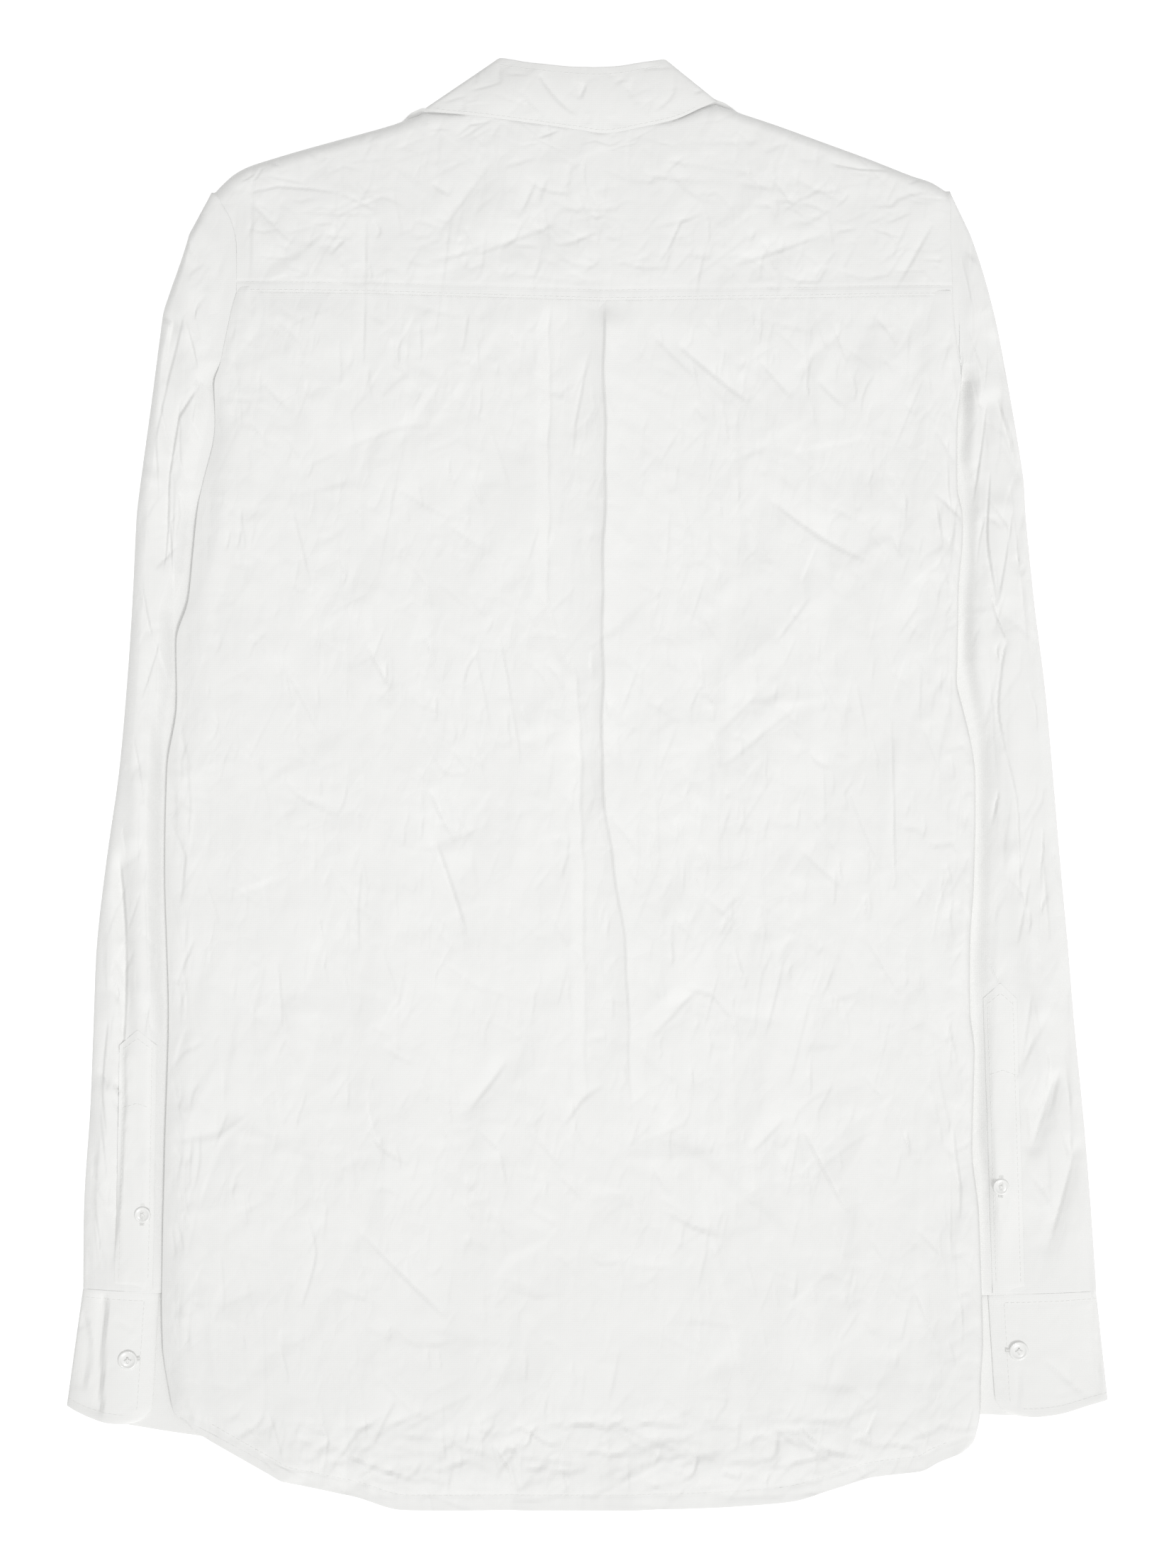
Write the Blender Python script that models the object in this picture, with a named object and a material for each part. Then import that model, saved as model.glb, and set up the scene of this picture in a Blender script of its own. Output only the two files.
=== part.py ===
"""A crumpled long-sleeved shirt laid flat on its front, so that its back shows.

All sizes are in millimetres and become metres where a mesh is made. X runs to the
right of the back view, Y towards the collar and Z up out of the back. The fronts
and the lower side of the sleeves lie on z = 0. Side -1 is the wearer's left.
"""

import math

import bpy
import numpy as np
from mathutils import Vector
from mathutils.bvhtree import BVHTree

MM = 0.001
LEFT, RIGHT = -1, 1

# Cloth and seams
WALL = 1.2
SEAM_GAP = 0.3
STRIP_GAP = 0.35
STRIP_REACH_X, STRIP_REACH_Y = (-2.5, 0.0, 2.5), (-6.0, 0.0, 6.0)
CLEARANCE = 0.4

# Heights of the outer surface above the floor
BODY_TOP = 9.6
SEAM_TOP = 8.4
ARMHOLE_TOP = 8.0
ROLL_END = 5.4
SHOULDER_END = 1.9
HEM_END = 4.2
SLEEVE_TOP = ((-295.0, -240.0, -100.0), (6.4, 7.0, 9.0))
TUCKED_OPEN = 3.4
TUCKED = 3.2
OVER_SLEEVE = 3.6
PLACKET_LIFT = 2.4
OVERLAP_LIFT = 3.9

# Widths over which the cloth turns or changes height
ROLL_WIDTH = 8.5
SLEEVE_ROLL = 7.0
GROOVE_START, GROOVE_WIDTH = 2.0, 13.0
SEAM_FADE = 16.0
HEM_FADE = 24.0
LIFT_START, LIFT_END = 11.0, 28.0
EDGE_REACH = (-16.0, -8.0, 0.0, 8.0, 16.0)
FRONT_INSET, ARMHOLE_INSET = 1.2, 0.9
SIDE_ROLL = (0.0, 0.8, 2.8, 5.6, ROLL_WIDTH)
CENTRE_REACH, CENTRE_FADE = 10.0, 26.0

# Front closing
FRONT_CENTRE = -4.0
PLACKET_WIDTH = 34.0
NECK_BUTTON_Y = 323.0
FIRST_BUTTON_Y, BUTTON_PITCH, FRONT_BUTTONS = 250.0, 88.0, 7

# Buttons
CUFF_BUTTON, PLACKET_BUTTON, FRONT_BUTTON = 11.4, 9.6, 11.4
BUTTON_THICKNESS = 2.0
BUTTON_FLOOR_GAP = 0.1

# Outlines of the body, from the hem's corner up to the yoke seam: x, y
BACK_LEFT = (
    (-227.8, -374.1), (-233.1, -366.7), (-239.2, -363.5), (-242.1, -349.5), (-245.4, -327.8),
    (-246.2, -292.9), (-244.2, -206.4), (-242.1, -132.6), (-244.2, -54.7), (-242.9, 10.5),
    (-237.6, 43.3), (-237.6, 84.3), (-231.0, 105.6), (-227.8, 136.3), (-225.3, 160.1),
    (-221.6, 177.3), (-215.9, 201.1), (-215.5, 231.9), (-212.2, 242.9), (-208.9, 258.5),
    (-205.2, 275.7), (-202.7, 284.0),
)
BACK_RIGHT = (
    (218.3, -386.0), (223.7, -380.3), (227.3, -365.1), (227.8, -343.8), (229.0, -320.8),
    (226.5, -246.6), (222.8, -213.4), (224.1, -154.4), (221.6, -132.6), (221.6, -89.2),
    (223.7, -56.8), (224.1, 10.5), (214.2, 56.0), (214.2, 71.1), (215.0, 114.6),
    (217.1, 138.4), (217.1, 156.0), (214.2, 171.2), (214.2, 208.1), (215.9, 235.1),
    (213.8, 250.7), (212.2, 266.3), (210.9, 281.8),
)
HEM = (
    (-227.8, -374.1), (-184.7, -398.3), (-175.7, -403.2), (-133.5, -412.7), (-107.6, -420.0),
    (-10.9, -420.0), (71.5, -418.8), (118.3, -415.1), (142.1, -408.2), (165.4, -401.2),
    (193.3, -397.5), (203.2, -392.2), (218.3, -386.0),
)
YOKE_SEAM = (
    (-202.7, 284.0), (-126.1, 283.1), (8.8, 279.0), (123.6, 280.6), (176.9, 281.6), (210.9, 281.8),
)
# The yoke's own armhole edges, from the yoke seam up to the shoulder point
YOKE_LEFT = ((-202.7, 284.3), (-202.7, 311.8), (-206.0, 326.2), (-212.2, 336.8), (-216.3, 342.0))
YOKE_RIGHT = ((210.9, 282.1), (210.5, 299.1), (209.7, 318.0), (209.7, 336.0), (208.2, 342.8))
SHOULDER_LEFT = (
    (-216.3, 342.0), (-206.0, 352.0), (-195.0, 358.1), (-169.9, 365.9), (-147.8, 372.1),
    (-117.9, 380.3), (-98.5, 386.6),
)
NECK_SEAM = (
    (-95.3, 388.0), (-71.1, 386.4), (-49.4, 383.6), (-28.1, 380.7), (-7.6, 377.8),
    (10.9, 375.4), (29.7, 378.6), (51.0, 383.6), (66.0, 390.3), (74.5, 393.2),
)
SHOULDER_RIGHT = (
    (78.5, 391.8), (107.6, 382.3), (139.2, 370.8), (162.6, 362.2), (186.3, 352.8),
    (198.6, 348.7), (208.2, 342.8),
)
# The fronts' neckline, from the neck point down to the front placket
NECKLINE_LEFT = ((-97.6, 385.4), (-94.8, 371.0), (-85.4, 349.0), (-68.4, 327.8), (-51.4, 315.4),
                 (-34.6, 307.6), (-21.3, 305.0))
NECKLINE_RIGHT = ((77.6, 390.8), (74.2, 371.4), (66.0, 350.4), (50.0, 329.8), (35.4, 316.6),
                  (16.6, 306.6), (-14.0, 303.8))

# The inverted pleat down the centre of the back: y, left fold's x, right fold's x, depth
PLEAT = (
    (282.0, -23.2, 11.5, 0.7),
    (268.0, -23.2, 11.3, 2.7),
    (106.4, -24.4, 10.4, 2.3),
    (77.0, -16.0, 10.0, 2.3),
    (60.1, -7.2, 9.6, 2.3),
    (8.0, -5.6, 9.2, 2.3),
    (-46.9, -4.3, 16.6, 2.2),
    (-90.4, -3.6, 21.9, 1.9),
    (-171.2, -2.6, 26.0, 0.9),
    (-200.0, -2.4, 27.0, 0.0),
    (-430.0, -2.4, 27.0, 0.0),
)
PLEAT_EDGE_RISE, PLEAT_EDGE_WIDTH, PLEAT_STEP = 0.9, 9.0, 1.6

# Largest creases of the body: x and y of both ends, half width, rise (a trough's is negative)
BODY_CREASES = (
    (-195, 337, -170, 312, 7, -1.6), (-57, 357, -87, 317, 7, -1.5), (-70, 306, -16, 324, 8, -2.0),
    (84, 299, 138, 318, 8, -2.2), (178, 286, 200, 324, 8, -2.0), (117, 351, 149, 335, 7, -1.4),
    (-140, 339, -104, 328, 7, 1.3), (53, 254, 94, 220, 8, -2.2), (99, 245, 118, 223, 7, -1.6),
    (107, 163, 163, 128, 8, -2.3), (109, 82, 129, 108, 8, 1.8), (172, 213, 172, 104, 10, 1.5),
    (75, 28, 98, 52, 8, -1.9), (79, 11, 119, 43, 8, -2.2), (122, -37, 148, -61, 8, -1.8),
    (150, -2, 170, -50, 8, 1.7), (161, -89, 181, -122, 8, -1.8), (103, -146, 114, -100, 8, -1.8),
    (38, -146, 64, -117, 8, -2.2), (125, -200, 150, -247, 8, -2.4), (95, -213, 113, -193, 8, -1.8),
    (129, -293, 152, -289, 8, 1.6), (189, -293, 202, -323, 8, -1.8), (24, -278, 51, -280, 8, -1.6),
    (-138, 194, -91, 206, 8, -1.9), (-187, 231, -170, 214, 7, -1.7), (-170, 158, -160, 115, 8, 1.7),
    (-127, 90, -115, 58, 8, -1.9), (-150, 97, -126, 110, 7, 1.4), (-79, 149, -62, 136, 7, -1.5),
    (-127, 80, -113, 55, 8, -1.8), (-173, 65, -153, 28, 8, -2.1), (-168, -6, -145, -18, 8, -1.7),
    (-90, 0, -77, -33, 9, 1.9), (-87, -33, -70, -86, 8, -2.3), (-178, -104, -177, -140, 8, -1.7),
    (-68, -187, -47, -161, 7, -2.2), (-24, -121, -11, -104, 7, -1.4), (-128, -177, -105, -220, 8, 1.8),
    (-131, -259, -81, -309, 8, -2.3), (-162, -249, -165, -302, 9, 1.8), (-209, -300, -192, -293, 8, -1.6),
    (-114, -313, -75, -321, 8, -1.7), (-216, -211, -207, -192, 8, -1.8), (-50, -215, -47, -232, 7, -1.5),
    (-81, -370, -58, -387, 8, -2.0), (-58, -384, 8, -394, 8, -1.9), (-122, -340, -84, -369, 8, 1.7),
    (12, -406, 50, -388, 8, 1.8), (50, -388, 79, -396, 8, 1.6), (107, -405, 145, -388, 8, -1.9),
    (81, -415, 95, -396, 7, -1.5), (-157, -361, -150, -380, 8, -1.6), (60, -340, 96, -333, 10, -1.4),
)

# Sleeves: outer silhouette from the shoulder point down to the cuff seam: x, y
SLEEVE_OUTER = {
    LEFT: (
        (-217.6, 342.4), (-226.5, 330.7), (-234.3, 305.7), (-242.1, 283.5), (-245.8, 271.2),
        (-251.5, 226.9), (-258.1, 178.6), (-261.0, 154.0), (-263.4, 104.8), (-266.7, 55.6),
        (-271.2, 6.4), (-278.2, -42.8), (-283.9, -92.0), (-286.0, -141.2), (-288.0, -190.4),
        (-291.3, -239.6), (-292.0, -291.8),
    ),
    RIGHT: (
        (209.8, 343.2), (217.5, 329.0), (225.3, 308.5), (231.9, 286.8), (238.0, 261.8),
        (245.0, 224.1), (252.4, 178.6), (254.0, 154.0), (258.9, 104.8), (265.1, 55.6),
        (269.6, 6.4), (273.7, -42.8), (278.2, -92.0), (282.3, -141.2), (287.2, -190.4),
        (291.3, -239.6), (295.0, -293.4),
    ),
}
# Each sleeve's inner fold, tucked under the body, from the underarm to the cuff seam:
# distance from the middle, y
SLEEVE_INNER = (
    (188.0, 150.0), (184.0, 132.0), (176.0, 112.0), (163.0, 88.0), (149.0, 62.0), (138.0, 34.0),
    (130.0, 2.0), (126.0, -35.0), (125.0, -90.0), (130.0, -160.0), (146.0, -228.0), (184.0, -296.8),
)
CUFF_INNER_END = (180.0, -392.0)
# The sleeve's armhole edge: its upper half from the shoulder point to the underarm, then
# its lower half back up, which follows the fronts' armhole: x, y
ARMHOLE_UPPER = {
    LEFT: ((-217.6, 342.4), (-212.8, 336.6), (-206.9, 326.4), (-203.7, 311.8), (-203.5, 289.0),
           (-205.9, 275.7), (-209.7, 258.5), (-213.0, 242.9), (-215.0, 231.9), (-214.0, 212.0),
           (-211.0, 190.0), (-206.0, 170.0), (-198.0, 157.0), (-188.0, 150.0)),
    RIGHT: ((209.8, 343.2), (210.8, 336.0), (210.7, 318.0), (211.4, 299.1), (211.8, 281.8),
            (213.1, 266.3), (214.9, 250.7), (216.3, 236.0), (214.0, 212.0), (210.0, 190.0),
            (205.0, 170.0), (197.5, 157.0), (188.0, 150.0)),
}
ARMHOLE_LOWER = {
    LEFT: ((-188, 150), (-184, 165), (-183, 190), (-184, 220), (-187, 250), (-192, 282),
           (-199, 312), (-207, 331), (-217.6, 342.4)),
    RIGHT: ((188, 150), (184, 165), (183, 190), (184, 220), (186, 250), (190, 282),
            (197, 312), (203, 331), (209.8, 343.2)),
}
UNDERARM_Y = 150.0
RING_COUNT = 24
RING_BOW, RING_BOW_REACH = 13.0, 0.3
RING_HANDLE = 14.0
INNER_PACE = 1.6
SLEEVE_CREASES = {
    LEFT: ((-220, 229, -218, 205, 5, -2.0), (-231, 290, -233, 262, 7, 1.8), (-247, 250, -252, 190, 6, 1.6),
           (-254, 175, -262, -30, 7, 2.0), (-270, -46, -266, -150, 5, -2.2), (-270, 60, -276, -60, 5, 1.2),
           (-279, -178, -286, -280, 6, 1.8), (-257, 0, -258, -120, 6, 1.6)),
    RIGHT: ((236, 256, 246, 217, 5, -2.0), (231, 219, 223, 162, 5, -1.8), (237, 223, 250, 180, 5, -1.8),
            (238, 160, 240, 110, 7, 2.0), (241, 84, 246, -40, 7, 2.0), (246, -40, 262, -130, 7, 1.8),
            (270, -171, 258, -209, 5, -2.2), (282, -212, 267, -268, 5, -2.0), (222, 300, 228, 275, 7, 1.5)),
}

# Sleeve plackets: x of both long edges at the top and at the cuff, y of the top and the cuff end
SLEEVE_PLACKET = {
    LEFT: dict(top=(-270.5, -249.0), end=(-273.5, -251.5), y_top=-151.0, y_end=-291.4),
    RIGHT: dict(top=(229.0, 248.0), end=(234.5, 253.0), y_top=-124.0, y_end=-293.6),
}
PLACKET_PEAK = 9.0

# Cuffs, one row for each section along the band, from its rounded free end round the outer
# fold, along the floor, round the inner fold and back under itself:
# x at the seam, x at the cuff's edge, y at the cuff's edge, height of the outer face
CUFFS = {
    LEFT: (
        (-248.0, -252.5, -370.0, 5.2), (-256.0, -261.0, -370.3, 6.4), (-267.0, -274.0, -369.6, 7.2),
        (-278.0, -286.0, -367.0, 6.8), (-286.0, -295.5, -363.0, 5.6), (-290.6, -300.4, -360.4, 3.9),
        (-292.2, -301.6, -359.9, 2.2), (-290.8, -300.2, -360.5, 0.6), (-286.0, -295.0, -363.0, 0.0),
        (-265.0, -270.0, -370.0, 0.0), (-245.0, -246.0, -374.2, 0.0), (-215.0, -214.0, -379.0, 0.0),
        (-188.0, -186.0, -383.0, 0.0), (-184.0, -182.0, -383.6, 0.4), (-182.4, -180.4, -383.8, 1.6),
        (-184.0, -182.0, -383.6, 2.8), (-188.0, -186.0, -383.0, 3.2), (-215.0, -214.0, -379.0, 3.2),
        (-243.0, -244.0, -374.6, 3.2), (-262.0, -266.0, -370.9, 3.2), (-276.0, -281.0, -368.4, 3.2),
    ),
    RIGHT: (
        (232.0, 236.5, -365.2, 5.2), (242.0, 246.0, -365.9, 6.4), (256.0, 259.0, -366.0, 7.2),
        (271.0, 274.0, -364.2, 7.0), (284.0, 289.0, -359.8, 6.0), (292.2, 299.8, -357.0, 4.2),
        (295.2, 301.6, -356.4, 2.2), (293.0, 299.6, -357.0, 0.6), (287.0, 293.0, -359.2, 0.0),
        (262.0, 266.0, -365.0, 0.0), (240.0, 243.0, -365.6, 0.0), (212.0, 213.0, -364.4, 0.0),
        (190.0, 190.0, -363.6, 0.0), (186.0, 186.0, -363.4, 0.4), (184.4, 184.4, -363.4, 1.6),
        (186.0, 186.0, -363.4, 2.8), (190.0, 190.0, -363.6, 3.2), (212.0, 213.0, -364.4, 3.2),
        (238.0, 240.0, -365.4, 3.2), (258.0, 261.0, -365.4, 3.2), (273.0, 277.0, -362.6, 3.2),
    ),
}
# Height of each cuff's seam line at its inner and outer end: y
CUFF_SEAM = {LEFT: (-297.2, -292.1), RIGHT: (-297.2, -293.7)}
CUFF_CORNER, CUFF_CORNER_REACH = 12.0, 30.0

# The collar band, one row for each section from its lower front end round the back:
# x and y at the neck seam, x and y at the free edge, height of the outer face
COLLAR = (
    (13.0, 306.0, 13.0, 341.0, 2.4), (-12.0, 306.1, -10.0, 341.5, 2.4), (-34.0, 308.9, -24.0, 348.0, 1.2),
    (-50.4, 316.8, -33.0, 359.0, 0.2), (-67.4, 329.2, -40.0, 372.0, 0.0), (-84.0, 350.0, -46.0, 388.0, 0.0),
    (-93.0, 371.0, -50.0, 402.0, 0.0), (-95.6, 381.0, -52.4, 413.0, 0.9), (-96.2, 389.4, -52.0, 419.6, 3.7),
    (-93.5, 389.8, -49.0, 420.0, 6.6), (-86.0, 388.2, -44.0, 419.2, 7.7), (-71.1, 386.8, -33.8, 417.2, 8.3),
    (-49.4, 384.0, -22.0, 415.8, 8.4), (-28.1, 381.1, -10.9, 414.7, 8.4), (-7.6, 378.2, -2.0, 414.4, 8.4),
    (10.9, 375.8, 6.0, 414.3, 8.4), (29.7, 379.0, 19.5, 415.1, 8.4), (51.0, 384.0, 33.8, 417.6, 8.2),
    (65.8, 390.8, 40.5, 418.7, 7.4), (73.0, 394.2, 43.8, 419.4, 6.2), (75.6, 394.8, 46.6, 418.2, 3.7),
    (75.4, 386.0, 45.5, 411.0, 0.9), (72.4, 372.0, 43.0, 398.0, 0.2), (64.4, 351.6, 37.0, 384.0, 0.2),
    (48.8, 331.4, 29.0, 368.0, 1.0), (34.6, 318.3, 18.0, 354.0, 2.6), (16.0, 308.2, 6.0, 345.0, 3.9),
    (-21.0, 305.2, -20.0, 341.5, 3.9),
)
COLLAR_EDGE_DROP = 1.4

CLOTH_COLOUR = (0.86, 0.86, 0.85)
BAND_COLOUR = (0.88, 0.88, 0.87)
BUTTON_COLOUR = (0.84, 0.84, 0.82)


def smooth(start, end, value):
    """0 up to start, 1 from end on, and a soft ramp between them."""
    t = np.clip((np.asarray(value, float) - start) / (end - start), 0.0, 1.0)
    return t * t * (3.0 - 2.0 * t)


def mix(low, high, share):
    return low + (high - low) * share


def along(points, share):
    """The points at these shares of a polyline's length, from 0 to 1."""
    points = np.array(points, float)
    steps = np.hypot(*np.diff(points[:, :2], axis=0).T)
    lengths = np.concatenate([[0.0], np.cumsum(steps)]) / steps.sum()
    return np.stack([np.interp(share, lengths, column) for column in points.T], axis=-1)


def corner_shares(points, longest):
    """Shares of a polyline's length at its corners, and between those that are far apart."""
    steps = np.hypot(*np.diff(np.array(points, float), axis=0).T)
    ends = np.concatenate([[0.0], np.cumsum(steps)]) / steps.sum()
    counts = np.ceil(steps / longest).astype(int)
    parts = [np.linspace(start, end, count + 1)[1:] for start, end, count in zip(ends[:-1], ends[1:], counts)]
    return np.concatenate([[0.0]] + parts)


def patch(bottom, top, left, right, u, v):
    """Plan positions inside four edge lines, at u across and v upwards."""
    u, v = u[..., None], v[..., None]
    across = (1 - v) * along(bottom, u[..., 0]) + v * along(top, u[..., 0])
    upwards = (1 - u) * along(left, v[..., 0]) + u * along(right, v[..., 0])
    corners = (1 - v) * ((1 - u) * np.array(bottom[0]) + u * np.array(bottom[-1]))
    corners = corners + v * ((1 - u) * np.array(top[0]) + u * np.array(top[-1]))
    return across + upwards - corners


def crease_relief(x, y, creases):
    """Soft troughs and ridges that fade out towards both of their ends."""
    relief = np.zeros_like(x)
    for x0, y0, x1, y1, half_width, rise in creases:
        length = math.hypot(x1 - x0, y1 - y0)
        forward = ((x - x0) * (x1 - x0) + (y - y0) * (y1 - y0)) / length
        sideways = ((x - x0) * (y1 - y0) - (y - y0) * (x1 - x0)) / length
        beyond = np.maximum(np.abs(forward - length / 2) - length / 2, 0.0)
        relief += rise * np.exp(-((sideways / half_width) ** 2) - (beyond / half_width) ** 2)
    return relief


def pleat_folds(y):
    table = np.array(PLEAT[::-1])
    return [np.interp(y, table[:, 0], column) for column in table[:, 1:].T]


def pleat_relief(x, y):
    """The strip between the folds lies lower, and the folded edges stand up beside it."""
    left, right, depth = pleat_folds(y)
    inside = np.minimum(x - left, right - x)
    strip = smooth(-PLEAT_STEP, PLEAT_STEP, inside)
    edge = np.exp(-((np.minimum(inside, 0.0) / PLEAT_EDGE_WIDTH) ** 2)) * (1 - strip)
    return depth * (PLEAT_EDGE_RISE * edge - strip)


def inside_tuck(x, y):
    """How far a place lies inside the stretch where a sleeve is tucked under the body, less than 0 outside."""
    across, fold = np.abs(x), np.array(SLEEVE_INNER + (CUFF_INNER_END,))
    distance = np.full_like(across, 1e3)
    for (x0, y0), (x1, y1) in zip(fold[:-1], fold[1:]):
        share = ((across - x0) * (x1 - x0) + (y - y0) * (y1 - y0)) / ((x1 - x0) ** 2 + (y1 - y0) ** 2)
        share = np.clip(share, 0.0, 1.0)
        distance = np.minimum(distance, np.hypot(across - mix(x0, x1, share), y - mix(y0, y1, share)))
    inside = (across > np.interp(y, fold[::-1, 1], fold[::-1, 0])) & (y < UNDERARM_Y)
    return np.where(inside, distance, -distance)


def front_lift(x, y, side=0):
    """Height of the lower face of the fronts: they lie on the floor, on the sleeves and on the placket."""
    over_sleeve = smooth(-LIFT_END, -LIFT_START, inside_tuck(x, y))
    from_centre = np.abs(x - FRONT_CENTRE)
    reach = PLACKET_WIDTH / 2
    rise = OVERLAP_LIFT if side == RIGHT else PLACKET_LIFT
    over_placket = 1 - smooth(reach + CENTRE_REACH, reach + CENTRE_REACH + CENTRE_FADE, from_centre)
    return np.maximum(OVER_SLEEVE * over_sleeve, rise * over_placket)


def body_top(x, y):
    """Height of the back's outer face away from its edges."""
    top = BODY_TOP + crease_relief(x, y, BODY_CREASES) + pleat_relief(x, y)
    return np.maximum(top, OVERLAP_LIFT + 2 * WALL + CLEARANCE)


def rolled(height, edge_height, distance, width):
    """The cloth turns down to edge_height in a quarter round as wide as width."""
    across = np.clip(distance / width, 0.0, 1.0)
    return edge_height + (height - edge_height) * np.sqrt(1 - (1 - across) ** 2)


def side_edge_height(y):
    """The back's side edge: level with the sleeve at the armhole, rolled under below it."""
    return np.interp(y, (212.0, 231.0), (ROLL_END, ARMHOLE_TOP))


def body_edge_reach(side, y):
    """The widest distance from the middle to the body's edge near this height."""
    outline = np.array(BACK_LEFT + YOKE_LEFT if side == LEFT else BACK_RIGHT + YOKE_RIGHT)
    near = [side * np.interp(y + shift, outline[:, 1], outline[:, 0]) for shift in EDGE_REACH]
    return np.max(near, axis=0)


def sleeve_top(side, x, y, from_fold):
    """Height of the sleeve's upper face, which sinks to a flat strip under the body."""
    outside = side * x - body_edge_reach(side, y)
    tucked = np.interp(y, (UNDERARM_Y + 3, UNDERARM_Y + 20, 232.0, 244.0),
                       (TUCKED, TUCKED_OPEN, TUCKED_OPEN, ARMHOLE_TOP))
    open_top = np.interp(y, *SLEEVE_TOP) + crease_relief(x, y, SLEEVE_CREASES[side])
    height = mix(tucked, open_top, smooth(GROOVE_START, GROOVE_WIDTH, outside))
    return rolled(height, height * 0.4, from_fold, SLEEVE_ROLL)


def add_material(thing, colour, roughness):
    material = bpy.data.materials.new(thing.name)
    material.use_nodes = True
    shader = material.node_tree.nodes["Principled BSDF"]
    shader.inputs["Base Color"].default_value = (*colour, 1.0)
    shader.inputs["Roughness"].default_value = roughness
    thing.data.materials.append(material)


def add_object(name, vertices, faces, colour, roughness):
    mesh = bpy.data.meshes.new(name)
    mesh.from_pydata([Vector(point) * MM for point in vertices], [], faces)
    mesh.shade_smooth()
    thing = bpy.data.objects.new(name, mesh)
    bpy.context.scene.collection.objects.link(thing)
    add_material(thing, colour, roughness)
    return thing


def add_cloth(name, points, colour=CLOTH_COLOUR, closed=False, flip=False):
    """A wall of cloth under a grid of outer points: rows, then columns, which may close into a ring."""
    rows, columns = points.shape[:2]
    faces = []
    for row in range(rows - 1):
        for column in range(columns if closed else columns - 1):
            beside = (column + 1) % columns
            face = (row * columns + column, row * columns + beside,
                    (row + 1) * columns + beside, (row + 1) * columns + column)
            faces.append(face[::-1] if flip else face)
    thing = add_object(name, points.reshape(-1, 3).tolist(), faces, colour, 0.9)
    wall = thing.modifiers.new("Wall", "SOLIDIFY")
    wall.thickness = WALL * MM
    wall.offset = -1.0
    wall.use_rim = True
    wall.use_quality_normals = True
    return thing


def spread(start, end, count):
    return np.linspace(start, end, count)


def make_back():
    """The back panel below the yoke, with its pleat, creases, rolled sides and hem."""
    rolls = np.array(SIDE_ROLL)
    rows = np.concatenate([(0.0, 0.012, 0.03), spread(0.052, 0.975, 27), (0.988, 1.0)])
    columns = []
    for v in rows:
        y = mix(HEM[5][1], YOKE_SEAM[2][1], v)
        edge_left, edge_right = along(BACK_LEFT, v)[0], along(BACK_RIGHT, v)[0]
        fold_left, fold_right, _ = pleat_folds(y)
        left_part = spread(edge_left + 20.0, fold_left - 7.0, 11)
        right_part = spread(fold_right + 7.0, edge_right - 20.0, 11)
        folds = (fold_left - PLEAT_STEP, fold_left + PLEAT_STEP, mix(fold_left, fold_right, 0.5),
                 fold_right - PLEAT_STEP, fold_right + PLEAT_STEP)
        x = np.concatenate([edge_left + rolls, left_part, folds, right_part, (edge_right - rolls)[::-1]])
        columns.append((x - edge_left) / (edge_right - edge_left))
    u = np.array(columns)
    v = np.repeat(rows[:, None], u.shape[1], axis=1)
    plan = patch(HEM, YOKE_SEAM, BACK_LEFT, BACK_RIGHT, u, v)
    x, y = plan[..., 0], plan[..., 1]
    width = along(BACK_RIGHT, rows)[:, 0] - along(BACK_LEFT, rows)[:, 0]
    from_side = np.minimum(u, 1 - u) * width[:, None]
    height = YOKE_SEAM[2][1] - HEM[5][1]
    top = mix(SEAM_TOP, body_top(x, y), smooth(0.0, SEAM_FADE, (1 - v) * height))
    hem = np.maximum(HEM_END, front_lift(x, y, RIGHT) + 2 * WALL + 2 * CLEARANCE)
    hem = hem + 1.4 * (1 + np.sin(x / 23.0) * np.cos(x / 61.0))
    top = mix(hem, top, smooth(0.0, HEM_FADE, v * height))
    top = rolled(top, side_edge_height(y), from_side, ROLL_WIDTH)
    add_cloth("back", np.stack([x, y, top], axis=-1))


def make_yoke():
    """The shoulder piece: rolled over both shoulders, flat at the neck, armhole and back seams."""
    rolls = np.array((0.0, 0.011, 0.038, 0.08, 0.13))
    rows = np.concatenate([spread(0.0, 0.82, 8), (1 - rolls)[::-1]])
    top_line = SHOULDER_LEFT + NECK_SEAM + SHOULDER_RIGHT
    seam = tuple((x, y + SEAM_GAP) for x, y in YOKE_SEAM)
    u, v = np.meshgrid(corner_shares(top_line, 20.0), rows)
    plan = patch(seam, top_line, YOKE_LEFT, YOKE_RIGHT, u, v)
    x, y = plan[..., 0], plan[..., 1]
    depth = along(top_line, u)[..., 1] - along(seam, u)[..., 1]
    from_top = (1 - v) * depth
    from_side = np.minimum(u, 1 - u) * (YOKE_RIGHT[0][0] - YOKE_LEFT[0][0])
    flat = smooth(0.0, SEAM_FADE, v * depth)
    top = mix(SEAM_TOP, body_top(x, y), flat)
    top = mix(ARMHOLE_TOP, top, smooth(0.0, SEAM_FADE, from_side))
    top_x = along(top_line, u)[..., 0]
    shoulder = np.maximum(smooth(SHOULDER_LEFT[-1][0], SHOULDER_LEFT[-1][0] - 14.0, top_x),
                          smooth(SHOULDER_RIGHT[0][0], SHOULDER_RIGHT[0][0] + 14.0, top_x))
    edge = mix(SEAM_TOP, SHOULDER_END, shoulder)
    top = rolled(top, edge, from_top, ROLL_WIDTH)
    add_cloth("yoke", np.stack([x, y, top], axis=-1))


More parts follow.
